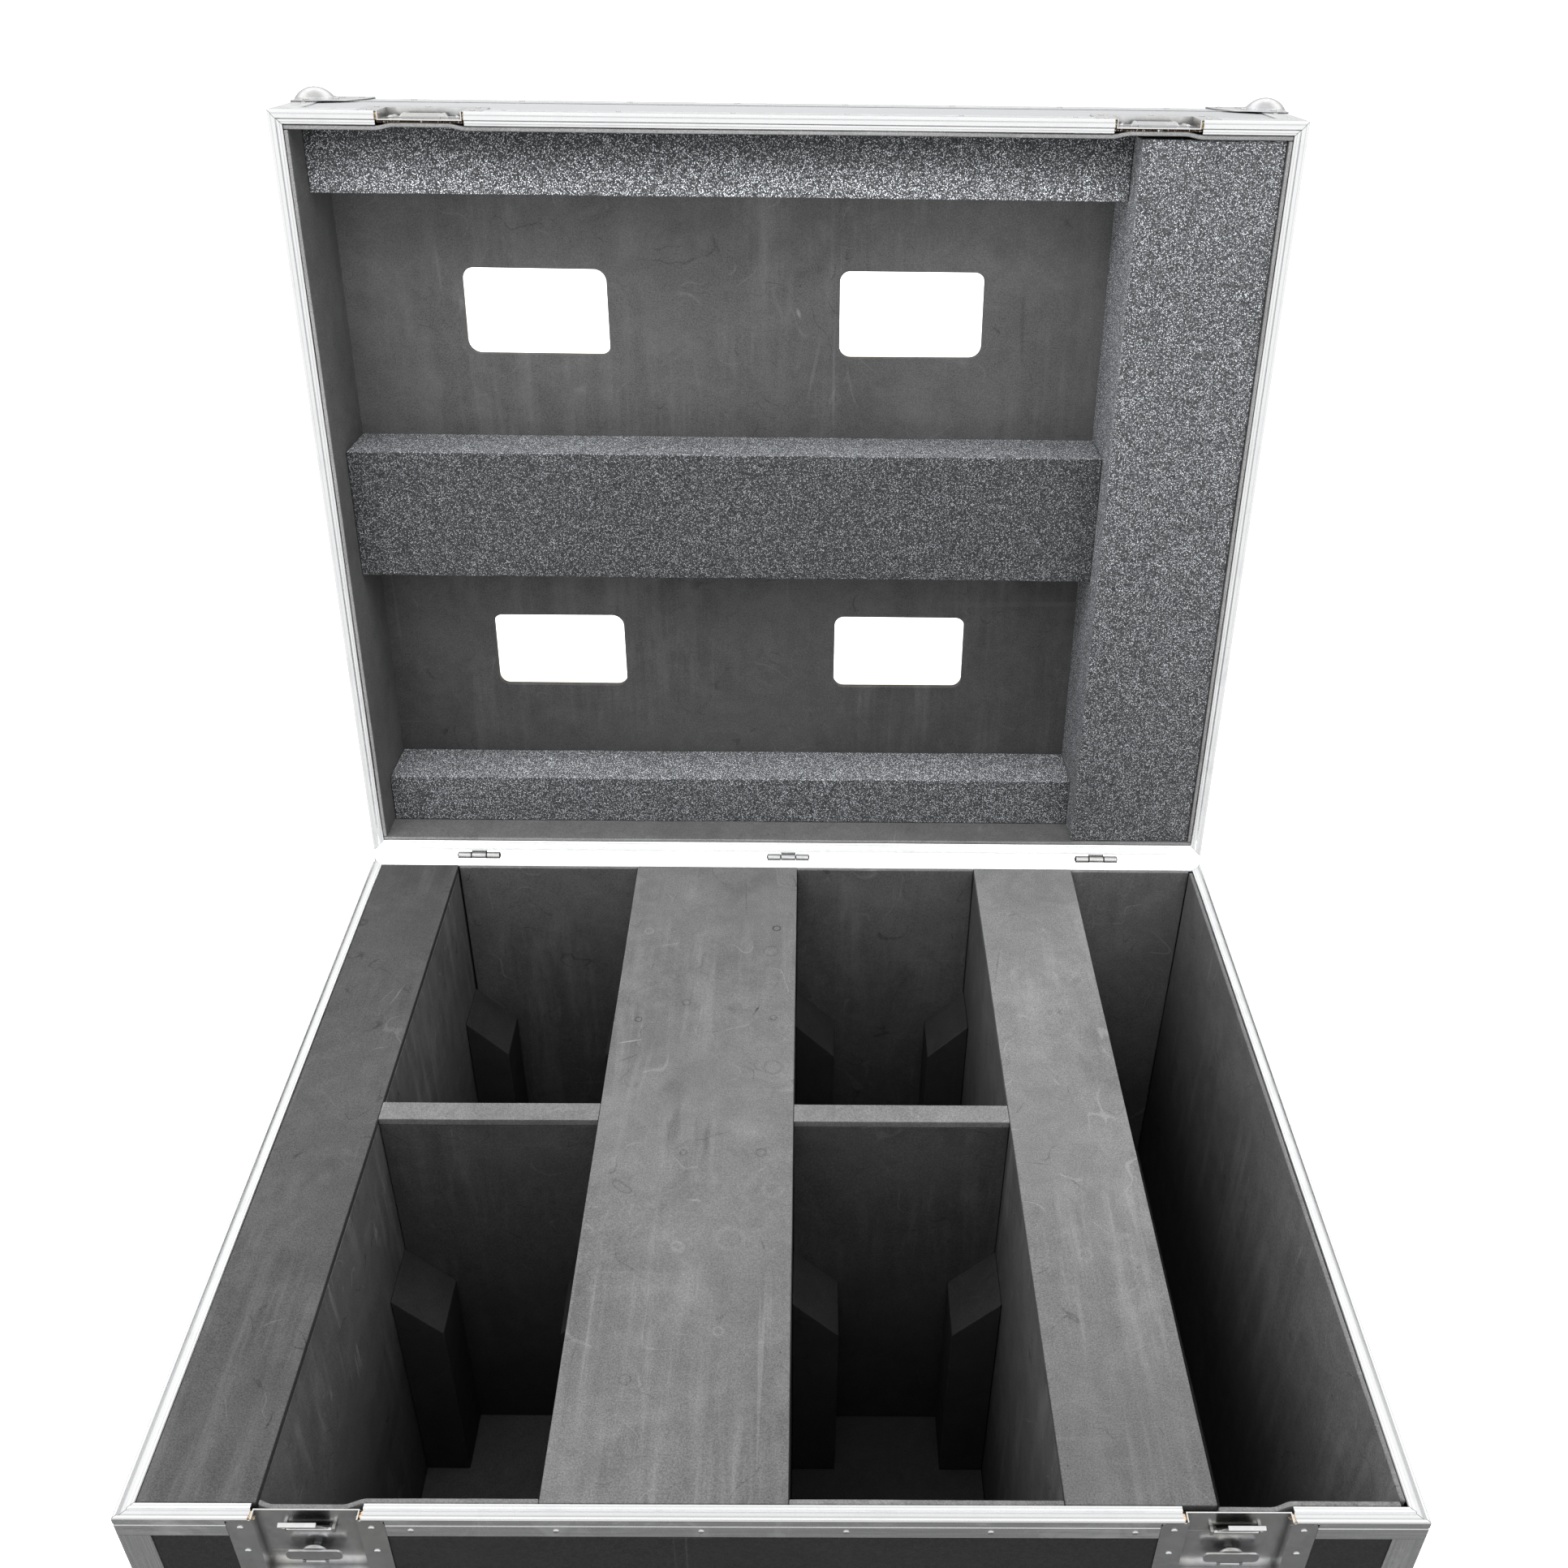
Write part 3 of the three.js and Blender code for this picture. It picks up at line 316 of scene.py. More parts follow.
def mark_blob(t, v, c, rx, ry, rot, amp):
    """Soft elongated smear."""
    q = t.map(v, loc=(-c[0], -c[1], -c[2]))
    q = t.map(q, rot=(0, 0, rot), kind="VECTOR")
    q = t.map(q, scale=(1 / rx, 1 / ry, 1 / 0.05), kind="VECTOR")
    n = t.node("ShaderNodeVectorMath", operation="LENGTH")
    t.put(n.inputs[0], q)
    return t.ramp(n.outputs["Value"], 0.25, 1.0, amp, 0.0)


def mark_line(t, v, a, b, w, amp):
    """Scratch between two points of a horizontal face."""
    cx, cy = (a[0] + b[0]) / 2, (a[1] + b[1]) / 2
    L = math.hypot(b[0] - a[0], b[1] - a[1])
    ang = math.atan2(b[1] - a[1], b[0] - a[0])
    return mark_blob(t, v, (cx, cy, a[2]), L / 2, w, -ang, amp)


def mat_eva(name, level=0.088, seed=0.0, scuff=1.0, lid=False, depth_shade=None, cut=0.0, marks=(), streak=None, top=0.0, y_light_gradient=None, smear=0.0):
    """Closed-cell lining foam: fine skin, mottling, rubbed patches and light scratches, with optional painted light and
    shade by face direction, along y and towards the bottom.
    """
    t = Tree(name)
    p0 = place(t, lid)
    v = t.map(p0, loc=(seed, seed * 2.1, seed * 0.3))
    broad = t.ramp(t.noise(v, 3.1, 3.0, 0.6), 0.3, 0.7, 0.88, 1.12)
    mott = t.ramp(t.noise(v, 26.0, 5.0, 0.68, 0.7), 0.3, 0.7, 0.91, 1.09)
    grain = t.ramp(t.noise(v, 620.0, 2.0, 0.75), 0.3, 0.7, 0.74, 1.26)
    pores = t.ramp(t.voronoi(v, 700.0), 0.05, 0.4, 0.86, 1.04)
    rub = t.ramp(t.noise(v, 7.5, 4.0, 0.62, 1.2), 0.52, 0.78, 0.0, 0.17 * scuff)
    dirt = t.ramp(t.noise(t.map(v, loc=(5, 5, 5), scale=(1.7, 0.8, 0.8)), 6.0, 4.0, 0.6, 0.8), 0.54, 0.75, 0.0, 0.14 * scuff)
    if smear:
        q = t.ramp(t.noise(t.map(v, loc=(2, 7, 1), rot=(0.12, 0.1, 0), scale=(75, 75, 11)), 1.0, 3.0, 0.7, 0.6), 0.6, 0.72, 0.0, smear)
        q = t.math("MULTIPLY", q, t.ramp(t.noise(t.map(v, loc=(9, 1, 4)), 8.0, 2.0), 0.5, 0.62))
        rub = t.math("ADD", rub, q)
    if streak:
        st = t.ramp(t.noise(t.map(v, scale=streak), 1.0, 4.0, 0.65), 0.42, 0.72, -0.1, 0.26 * scuff)
        sm = t.ramp(t.noise(v, 3.7, 2.0), 0.42, 0.62)
        rub = t.math("ADD", rub, t.math("MULTIPLY", st, sm))
    s1 = scratch_layer(t, v, (0.1, 0.0, 0.5), (2.0, 95.0, 95.0), 0.66, 0.74, 1.7)
    s2 = scratch_layer(t, v, (0.0, 0.9, -0.9), (110.0, 2.4, 110.0), 0.67, 0.75, 4.1)
    s3 = scratch_layer(t, v, (1.1, 0.2, 0.2), (60.0, 60.0, 3.0), 0.67, 0.76, 8.3, 3.4)
    scr = t.math("MULTIPLY", t.math("ADD", t.math("ADD", s1, s2), s3), 0.3 * scuff)
    specks = t.ramp(t.voronoi(v, 75.0), 0.03, 0.10, 0.55, 0.0)
    smask = t.ramp(t.sep(t.voronoi(v, 75.0, "Color"))[0], 0.91, 0.92)
    pits = t.ramp(t.voronoi(t.map(v, loc=(3, 1, 2)), 62.0), 0.03, 0.10, -0.4, 0.0)
    pmask = t.ramp(t.sep(t.voronoi(t.map(v, loc=(3, 1, 2)), 62.0, "Color"))[1], 0.90, 0.91)
    arcs = None
    for off, fr, wd, lo, am in ((0.0, 15.0, 0.011, 0.57, 0.26), (7.0, 23.0, 0.014, 0.58, -0.24)):
        q = t.map(v, loc=(off, -off, off * 0.3))
        f = t.ramp(t.math("ABSOLUTE", t.math("SUBTRACT", t.noise(q, fr, 0.0, 0.5, 0.5), 0.5)), wd * 0.3, wd, am * scuff, 0.0)
        f = t.math("MULTIPLY", f, t.ramp(t.noise(t.map(q, loc=(4, 4, 1)), 19.0, 1.0), lo, lo + 0.07))
        arcs = f if arcs is None else t.math("ADD", arcs, f)
    k = t.math("MULTIPLY", t.math("MULTIPLY", broad, mott), t.math("MULTIPLY", grain, pores))
    k = t.math("ADD", k, t.math("ADD", rub, scr))
    k = t.math("SUBTRACT", k, dirt)
    k = t.math("ADD", k, t.math("ADD", t.math("MULTIPLY", specks, smask), t.math("MULTIPLY", pits, pmask)))
    k = t.math("ADD", k, arcs)
    dent_h = None
    for m in marks:
        f = {"ring": mark_ring, "blob": mark_blob, "line": mark_line}[m[0]](t, p0, *m[1:])
        k = t.math("ADD", k, f)
    # Painted shade: side faces are drawn darker than flat faces.
    if cut:
        nz = t.math("ABSOLUTE", t.sep(facing(t, lid))[2])
        k = t.math("MULTIPLY", k, t.ramp(nz, 0.35, 0.75, cut, 1.0))
    # Painted light and shade: faces turned up or down are drawn lighter or darker.
    if top:
        nz = t.math("ABSOLUTE", t.sep(facing(t, lid))[2])
        k = t.math("MULTIPLY", k, t.ramp(nz, 0.6, 0.9, 1.0, top))
    # Painted light and shade: brightness ramps along y stand in for light falling off across the piece.
    if y_light_gradient:
        y = t.sep(p0)[1]
        for y0, y1, a, b in y_light_gradient:
            k = t.math("MULTIPLY", k, t.ramp(y, y0, y1, a, b))
    # Painted shade: darker towards the bottom, where less light reaches down the walls.
    if depth_shade:
        z = t.sep(p0)[2]
        k = t.math("MULTIPLY", k, t.ramp(z, depth_shade[0], depth_shade[1], depth_shade[2], 1.0))
    col = t.tint((level, level * 1.0, level * 1.004), t.math("MAXIMUM", k, 0.05))
    dent = t.ramp(t.voronoi(v, 13.0), 0.0, 0.11, -1.0, 0.0)
    dmask = t.ramp(t.noise(v, 4.4, 1.0), 0.58, 0.66)
    h = t.math("ADD", t.math("MULTIPLY", t.noise(v, 540.0, 2.0, 0.6), 0.55), t.math("MULTIPLY", t.noise(v, 45.0, 3.0, 0.6), 0.6))
    nrm = t.bump(h, 0.00035, 0.55)
    nrm = t.bump(t.math("MULTIPLY", dent, dmask), 0.0011, 0.5, nrm)
    rough = t.ramp(t.noise(v, 18.0, 3.0), 0.3, 0.7, 0.74, 0.92)
    return t.done(col, rough, 0.0, nrm, 0.22)


def mat_pe(name, seed=0.0, level=0.052, gain=1.0, lid=False, up_face_light=1.7, y_shade_ramp=None, left_face_light=1.0):
    """Coarse-celled block foam, bluish grey, with bright specks where cut cells catch the light, and optional painted
    light and shade by face direction and along y.
    """
    t = Tree(name)
    v = t.map(place(t, lid), loc=(seed, seed * 1.7, seed * 0.4))
    broad = t.ramp(t.noise(v, 4.0, 3.0, 0.6), 0.3, 0.7, 0.92, 1.08)
    gr = t.noise(v, 400.0, 3.0, 0.8)
    base = t.ramp(gr, 0.32, 0.68, 0.42, 1.6)
    fl = None
    for i, (rot, sc, th) in enumerate((((0.4, 0.2, 0.7), (520, 860, 860), 0.70), ((0.1, 0.8, -0.6), (880, 540, 880), 0.72), ((0.9, 0.3, 2.1), (840, 840, 500), 0.72))):
        n = t.node("ShaderNodeTexVoronoi", feature="F1")
        t.put(n.inputs["Vector"], t.map(v, loc=(i * 3.3, i, -i), rot=rot, scale=sc))
        n.inputs["Scale"].default_value = 1.0
        c = t.sep(n.outputs["Color"])
        f = t.math("MULTIPLY", t.ramp(n.outputs["Distance"], 0.12, 0.56, 1.0, 0.0), t.ramp(c[1], th, th + 0.02))
        f = t.math("MULTIPLY", f, t.ramp(c[0], 0.0, 1.0, 0.15, 1.0))
        fl = f if fl is None else t.math("MAXIMUM", fl, f)
    fl = t.math("MULTIPLY", fl, t.ramp(t.noise(v, 60.0, 2.0, 0.7), 0.3, 0.7, 0.75, 1.2))
    k = t.math("MULTIPLY", t.math("MULTIPLY", broad, base), 0.66)
    k = t.math("ADD", k, t.math("MULTIPLY", fl, 8.6 * gain))
    # Painted light: faces turned towards -x are drawn lighter.
    if left_face_light != 1.0:
        k = t.math("MULTIPLY", k, t.ramp(t.sep(facing(t, lid))[0], -0.9, -0.5, left_face_light, 1.0))
    # Painted light: faces that look up when the lid is open are drawn lighter.
    k = t.math("MULTIPLY", k, t.ramp(t.sep(facing(t, lid))[1], -0.9, -0.5, up_face_light, 1.0))
    # Painted light and shade: brightness ramps along y across the block.
    if y_shade_ramp:
        k = t.math("MULTIPLY", k, t.ramp(t.sep(place(t, lid))[1], y_shade_ramp[0], y_shade_ramp[1], y_shade_ramp[2], y_shade_ramp[3]))
    col = t.tint((level * 0.965, level, level * 1.055), k)
    h = t.math("ADD", t.math("MULTIPLY", gr, 0.8), t.math("MULTIPLY", fl, 0.5))
    nrm = t.bump(h, 0.0007, 0.5)
    return t.done(col, t.ramp(fl, 0.0, 1.0, 0.88, 0.55), 0.0, nrm, 0.25)


def mat_alu(name, lid=False, mitre=False):
    """Satin extrusion with fine draw lines, faint smudges and scratches."""
    t = Tree(name)
    v = place(t, lid)
    draw = t.noise(t.map(v, scale=(900, 14, 900)), 1.0, 2.0, 0.6)
    draw2 = t.noise(t.map(v, scale=(14, 900, 900)), 1.0, 2.0, 0.6)
    xyz = t.sep(v)
    if mitre:
        ax = t.math("SUBTRACT", XO, t.math("ABSOLUTE", xyz[0]))
        ay = t.math("SUBTRACT", YO, t.math("ABSOLUTE", xyz[1]))
        m = t.math("SUBTRACT", ax, ay)
        side = t.math("LESS_THAN", m, 0.0)
        line = t.ramp(t.math("ABSOLUTE", m), 0.0002, 0.0006, 1.0, 0.0)
        near = t.math("LESS_THAN", ax, 0.02)
        line = t.math("MULTIPLY", line, near)
    else:
        side = t.math("GREATER_THAN", t.math("ABSOLUTE", xyz[0]), XO - 0.0305)
        line = None
    d = t.math("ADD", t.math("MULTIPLY", draw, side), t.math("MULTIPLY", draw2, t.math("SUBTRACT", 1.0, side)))
    if not mitre:
        post = t.math("MULTIPLY", side, t.math("GREATER_THAN", t.math("ABSOLUTE", xyz[1]), YO - 0.0305))
        d3 = t.noise(t.map(v, scale=(900, 900, 14)), 1.0, 2.0, 0.6)
        d = t.math("ADD", t.math("MULTIPLY", d3, post), t.math("MULTIPLY", d, t.math("SUBTRACT", 1.0, post)))
    smudge = t.ramp(t.noise(v, 17.0, 4.0, 0.65, 0.8), 0.45, 0.75, 0.0, 1.0)
    scr = scratch_layer(t, v, (0.3, 0.2, 0.8), (3.0, 160.0, 160.0), 0.68, 0.74, 2.2, 6.0)
    rough = t.math("ADD", t.ramp(d, 0.3, 0.7, 0.23, 0.3), t.math("MULTIPLY", smudge, 0.12))
    k = t.math("SUBTRACT", 1.0, t.math("MULTIPLY", smudge, 0.05))
    k = t.math("SUBTRACT", k, t.math("MULTIPLY", scr, 0.12))
    if line is not None:
        k = t.math("MULTIPLY", k, t.math("SUBTRACT", 1.0, t.math("MULTIPLY", line, 0.72)))
        rough = t.math("ADD", rough, t.math("MULTIPLY", line, 0.4))
    metal = 1.0
    if mitre:
        # The rear run has gone chalky.
        rear = t.math("MULTIPLY", t.math("SUBTRACT", 1.0, side), t.math("GREATER_THAN", xyz[1], 0.0))
        metal = t.math("SUBTRACT", 1.0, t.math("MULTIPLY", rear, 0.72))
        # Painted shade: grey lines and a grey band along the profile's grooves stand in for their shade and darker
        # reflections.
        sd = t.math("MINIMUM", ax, ay)
        flat = t.ramp(t.math("ABSOLUTE", t.sep(facing(t, lid))[2]), 0.3, 0.6)
        g = None
        lines = ((0.0034, 0.0005, 0.40), (0.0101, 0.0005, 0.22), (0.0132, 0.0005, 0.16), (0.0158, 0.0004, 0.2), (0.0004, 0.0005, 0.45)) if not lid else (
            (0.0040, 0.0009, 0.16), (0.0096, 0.0009, 0.14), (0.0132, 0.0005, 0.26), (0.0158, 0.0004, 0.12), (0.0004, 0.0005, 0.25))
        for c0, w0, a0 in lines:
            f = t.ramp(t.math("ABSOLUTE", t.math("SUBTRACT", sd, c0)), w0 * 0.4, w0, a0, 0.0)
            g = f if g is None else t.math("MAXIMUM", g, f)
        band = t.math("MULTIPLY", t.ramp(sd, 0.0035, 0.0042, 0.0, 1.0), t.ramp(sd, 0.0092, 0.0100, 1.0, 0.0))
        shade = t.math("MULTIPLY", band, t.ramp(sd, 0.0048, 0.0068, 0.40 if not lid else 0.05, 0.13 if not lid else 0.02))
        g = t.math("MAXIMUM", g, shade)
        g = t.math("MULTIPLY", g, t.math("SUBTRACT", 0.75 if lid else 1.0, t.math("MULTIPLY", rear, 0.6 if lid else 0.8)))
        k = t.math("MULTIPLY", k, t.math("SUBTRACT", 1.0, t.math("MULTIPLY", g, flat)))
    nrm = t.bump(t.math("ADD", d, t.math("MULTIPLY", scr, -0.6)), 0.00003, 0.35)
    return t.done(t.tint((0.92, 0.925, 0.93), k), rough, metal, nrm)


def mat_zinc(name, lid=False, level=0.8, rough=0.18, barrel=()):
    """Bright zinc plate on pressed steel: soft spangle, dulled patches, scratches, and painted shade in crevices."""
    t = Tree(name)
    v = place(t, lid)
    sp = t.sep(t.voronoi(t.map(v, scale=(1, 1, 1)), 160.0, "Color"))
    sm = t.noise(v, 40.0, 4.0, 0.65, 1.0)
    scr = scratch_layer(t, v, (0.5, 0.4, 0.9), (6.0, 260.0, 260.0), 0.66, 0.73, 5.2, 12.0)
    k = t.math("ADD", t.ramp(sp[0], 0, 1, 0.97, 1.02), t.ramp(sm, 0.4, 0.75, 0.0, -0.06))
    k = t.math("SUBTRACT", k, t.math("MULTIPLY", scr, 0.15))
    # Painted shade: ambient occlusion darkens the colour in crevices.
    ao = t.node("ShaderNodeAmbientOcclusion", samples=6)
    ao.inputs["Distance"].default_value = 0.014
    k = t.math("MULTIPLY", k, t.ramp(ao.outputs["AO"], 0.35, 0.95, 0.38, 1.0))
    if barrel:
        # Oil and dirt in the joints between the knuckles of a hinge barrel, and painted shade on the barrel's sides
        # where they turn away from the view.
        q = t.sep(v)
        lw = t.node("ShaderNodeLayerWeight")
        lw.inputs["Blend"].default_value = 0.5
        near = t.ramp(t.math("ABSOLUTE", t.math("SUBTRACT", q[2], HB)), 0.0055, 0.0065, 1.0, 0.0)
        knuckle_joints_and_side_shade = t.ramp(lw.outputs["Facing"], 0.30, 0.60)
        for b in barrel:
            knuckle_joints_and_side_shade = t.math("MAXIMUM", knuckle_joints_and_side_shade, t.ramp(t.math("ABSOLUTE", t.math("SUBTRACT", q[0], b)), 0.0007, 0.0014, 1.0, 0.0))
        k = t.math("MULTIPLY", k, t.math("SUBTRACT", 1.0, t.math("MULTIPLY", t.math("MULTIPLY", near, knuckle_joints_and_side_shade), 0.9)))
    col = t.mix(t.ramp(t.noise(v, 25.0, 2.0), 0.35, 0.7), t.tint((level, level * 1.005, level * 1.02), k), t.tint((level, level * 0.995, level * 0.97), k))
    r = t.math("ADD", t.ramp(sm, 0.3, 0.7, rough, rough + 0.09), t.math("MULTIPLY", scr, 0.2))
    nrm = t.bump(t.math("ADD", t.noise(v, 420.0, 2.0), t.math("MULTIPLY", scr, -1.0)), 0.00004, 0.3)
    return t.done(col, r, 1.0, nrm)


def mat_laminate(name, axis, lid=False, pale=0.0):
    """Black textured laminate; panel edges show the plywood's layers."""
    t = Tree(name)
    v = place(t, lid)
    nz = t.sep(facing(t, lid))
    p = t.sep(v)
    tex = t.voronoi(v, 520.0)
    dust = t.ramp(t.noise(v, 5.0, 3.0, 0.55, 0.4), 0.42, 0.72, 0.0, 0.0014)
    s1 = scratch_layer(t, v, (0.2, 0.5, 0.4), (2.2, 120.0, 120.0), 0.67, 0.74, 3.3)
    s2 = scratch_layer(t, v, (0.4, 0.1, -0.8), (110.0, 110.0, 2.0), 0.67, 0.74, 6.4)
    scr = t.math("MULTIPLY", t.math("ADD", s1, s2), 0.02)
    lam = t.math("ADD", t.ramp(t.noise(v, 260.0, 2.0), 0.3, 0.7, 0.0055, 0.009), t.math("ADD", dust, scr))
    lamc = t.tint((1.0, 1.0, 1.03), lam)
    # Layers of the edge: five plies along the thickness axis.
    edge = {"x": 0, "y": 1, "z": 2, "ring": 2}[axis]
    through = p[edge]
    fib = t.noise(t.map(v, scale=(500, 500, 500)), 1.0, 3.0, 0.7)
    layer = t.math("ADD", t.math("MULTIPLY", through, 1 / 0.0034), t.math("MULTIPLY", fib, 0.35))
    band = t.ramp(t.math("ABSOLUTE", t.math("SUBTRACT", t.math("FRACT", layer), 0.5)), 0.18, 0.3)
    wood = t.mix(band, t.mix(fib, (0.50, 0.36, 0.21), (0.62, 0.47, 0.30)), t.mix(fib, (0.66, 0.54, 0.38), (0.78, 0.68, 0.52)))
    # Plywood edges mixed towards pale cream: a pale wood tone, lightened further as painted light for edges lit
    # brightly from behind.
    if pale:
        wood = t.mix(pale, wood, (0.84, 0.80, 0.74))
    a = t.math("ABSOLUTE", nz[edge])
    is_edge = t.math("GREATER_THAN", a, 0.5) if axis == "ring" else t.math("LESS_THAN", a, 0.5)
    lw = t.node("ShaderNodeLayerWeight")
    lw.inputs["Blend"].default_value = 0.5
    if axis == "ring":
        # Painted sheen: the lid walls' colour is lightened towards grey where they are seen at a grazing angle.
        sheen = t.math("MULTIPLY", t.ramp(lw.outputs["Facing"], 0.80, 0.93), 0.36)
        lamc = t.mix(sheen, lamc, (0.58, 0.59, 0.60))
    col = t.mix(is_edge, lamc, wood)
    rough = t.math("ADD", t.ramp(t.noise(v, 60.0, 4.0), 0.3, 0.7, 0.37, 0.41), t.math("MULTIPLY", is_edge, 0.35))
    nrm = t.bump(t.math("ADD", tex, t.math("MULTIPLY", t.math("MULTIPLY", fib, is_edge), 1.5)), 0.0004, 0.45)
    return t.done(col, rough, 0.0, nrm, 0.45)


def mat_wood(name, dark=False):
    """Torn plywood: pale splintered fibres."""
    t = Tree(name)
    v = t.coord.outputs["Object"]
    f = t.noise(t.map(v, scale=(120, 120, 900)), 1.0, 4.0, 0.7)
    g = t.noise(v, 90.0, 4.0, 0.7)
    col = t.mix(f, t.mix(g, (0.13, 0.085, 0.05), (0.40, 0.27, 0.15)), t.mix(g, (0.52, 0.39, 0.25), (0.80, 0.68, 0.50)))
    if dark:
        tear = t.ramp(t.noise(t.map(v, scale=(420, 90, 160)), 1.0, 3.0, 0.65), 0.56, 0.62)
        col = t.mix(tear, t.mix(g, (0.012, 0.008, 0.006), (0.10, 0.06, 0.035)), (0.75, 0.72, 0.68))
    return t.done(col, 0.85, 0.0, t.bump(f, 0.0008, 0.8), 0.2)


def mat_rubber(name, rgb=(0.022, 0.022, 0.024), rough=0.6):
    t = Tree(name)
    v = t.coord.outputs["Object"]
    g = t.ramp(t.noise(v, 35.0, 4.0, 0.6), 0.3, 0.7, 0.85, 1.2)
    d = t.ramp(t.noise(v, 11.0, 4.0, 0.6, 0.8), 0.52, 0.75, 0.0, 0.35)
    r = t.ramp(t.noise(v, 60.0, 3.0), 0.3, 0.7, rough - 0.06, rough + 0.12)
    return t.done(t.tint(rgb, t.math("ADD", g, d)), r, 0.0, t.bump(t.noise(v, 900.0, 2.0), 0.0002, 0.5), 0.4)


# Height range of the painted shade towards the bottom of the base walls.
DEPTH_SHADE_Z = (0.02, 0.58)
# Painted light and shade: the rib tops get different levels, darkest on the left and lightest on the right, for the
# light falling unevenly across the ribs.
EVA_RIB = {
    "left": mat_eva("left_rib_foam", level=0.040, seed=1.1, scuff=1.4, cut=0.7, streak=(60, 3.5, 60), marks=LEFT_MARKS, y_light_gradient=((0.0, 0.45, 1.0, 0.92),)),
    "centre": mat_eva("centre_rib_foam", level=0.094, seed=3.7, scuff=1.0, cut=0.8, streak=(60, 3.5, 60), marks=RIB_MARKS, y_light_gradient=((-0.5, 0.15, 0.72, 0.97),)),
    "right": mat_eva("right_rib_foam", level=0.105, seed=6.2, scuff=1.1, cut=0.75, streak=(60, 3.5, 60), marks=RIGHT_MARKS, y_light_gradient=((-0.5, 0.05, 0.54, 1.02),)),
    "divider": mat_eva("divider_top_foam", level=0.094, seed=8.8, scuff=1.1, cut=0.8),
}
# Lit and shaded copies of one side foam: a lighter level for the left rib's sides and a darker one for the divider
# sides, as painted light and shade.
EVA_WALL_L = mat_eva("left_rib_side_foam", level=0.072, seed=0.9, scuff=1.7, smear=1.0, depth_shade=(*DEPTH_SHADE_Z, 0.5), streak=(40, 40, 4.5))
EVA_WALL = mat_eva("rib_side_foam", level=0.059, seed=2.4, scuff=1.6, smear=0.9, depth_shade=(*DEPTH_SHADE_Z, 0.5), streak=(40, 40, 4.5))
EVA_DIV = mat_eva("divider_side_foam", level=0.033, seed=9.1, scuff=1.2, depth_shade=(*DEPTH_SHADE_Z, 0.5), streak=(40, 40, 4.5))
EVA_BACK = mat_eva("back_lining_foam", level=0.057, seed=4.9, scuff=1.3, smear=0.35, top=1.5, depth_shade=(*DEPTH_SHADE_Z, 0.5), streak=(40, 40, 4.5))
EVA_POST = mat_eva("corner_post_foam", level=0.0175, top=0.86, seed=7.7, scuff=0.9)
EVA_PAD = mat_eva("floor_pad_foam", level=0.024, seed=5.5, scuff=0.8)
# Painted shade: a darker copy of the pad foam for the front right compartment's floor.
EVA_PAD_SHADED = mat_eva("floor_pad_foam_shaded", level=0.012, seed=3.3, scuff=0.8)
EVA_LINE = mat_eva("base_lining_foam", level=0.092, seed=0.6, scuff=1.1, smear=0.4, top=0.9, depth_shade=(0.12, 0.585, 0.22), streak=(40, 40, 4.5))
EVA_CHAN = mat_eva("channel_back_foam", level=0.088, seed=6.6, scuff=1.3, top=1.3, depth_shade=(*DEPTH_SHADE_Z, 0.35), streak=(40, 40, 4.5))
EVA_LID = mat_eva("lid_lining_foam", level=0.058, seed=5.9, scuff=0.95, marks=LID_MARKS, streak=(42, 3.5, 42), y_light_gradient=((-0.45, -0.1, 1.42, 1.06), (0.0, 0.4, 1.0, 0.72)))
EVA_LIDWALL = mat_eva("lid_wall_lining_foam", level=0.072, seed=1.9, scuff=0.9, top=2.3)
PE = [
    mat_pe("block_foam_0", seed=0.0, level=0.052, gain=1.6, up_face_light=1.55),
    mat_pe("block_foam_1", seed=1.9, level=0.0365, gain=1.32, up_face_light=2.45),
    mat_pe("block_foam_2", seed=3.8, level=0.070, gain=2.0, y_shade_ramp=(-0.475, -0.40, 0.45, 1.25)),
    mat_pe("block_foam_3", seed=5.7, level=0.057, gain=1.3, y_shade_ramp=(-0.3, 0.4, 1.14, 0.88), left_face_light=1.75),
]
WOOD = mat_wood("torn_plywood")
WOOD_DARK = mat_wood("torn_plywood_dark", True)
ZINC = mat_zinc("zinc_plate")
ZINC_LID = mat_zinc("zinc_plate_lid")
STEEL = mat_zinc("castor_steel", level=0.7, rough=0.28)
KNUCKLES = [h + d for h in (-0.448, 0.0, 0.448) for d in (-0.0302, -0.0108, 0.0108, 0.0302)]
ZINC_HINGE = mat_zinc("zinc_hinge", barrel=KNUCKLES)
ZINC_HINGE_LID = mat_zinc("zinc_hinge_lid", lid=True, barrel=KNUCKLES)
RUBBER = mat_rubber("handle_rubber")
TYRE = mat_rubber("castor_tyre", (0.02, 0.055, 0.2), 0.5)
HUB = mat_rubber("castor_hub", (0.2, 0.2, 0.2), 0.45)


# ------------------------------------------------------------------ mesh helpers
def finish_obj(o, mat, body, lid=False, bevel=0.0, seg=2, wn=True, angle=35):
    bpy.context.scene.collection.objects.link(o)
    o.data.materials.clear()
    o.data.materials.append(mat)
    for p in o.data.polygons:
        p.use_smooth = True
    if bevel:
        b = o.modifiers.new("edge", "BEVEL")
        b.width = bevel
        b.segments = seg
        b.limit_method = "ANGLE"
        b.angle_limit = math.radians(angle)
        b.harden_normals = False
    if wn:
        w = o.modifiers.new("normals", "WEIGHTED_NORMAL")
        w.keep_sharp = True
    if lid:
        o.matrix_world = M_OPEN
    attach(o, body)
    return o


def from_bm(bm, name):
    me = bpy.data.meshes.new(name)
    bmesh.ops.recalc_face_normals(bm, faces=bm.faces)
    bm.to_mesh(me)
    bm.free()
    return bpy.data.objects.new(name, me)


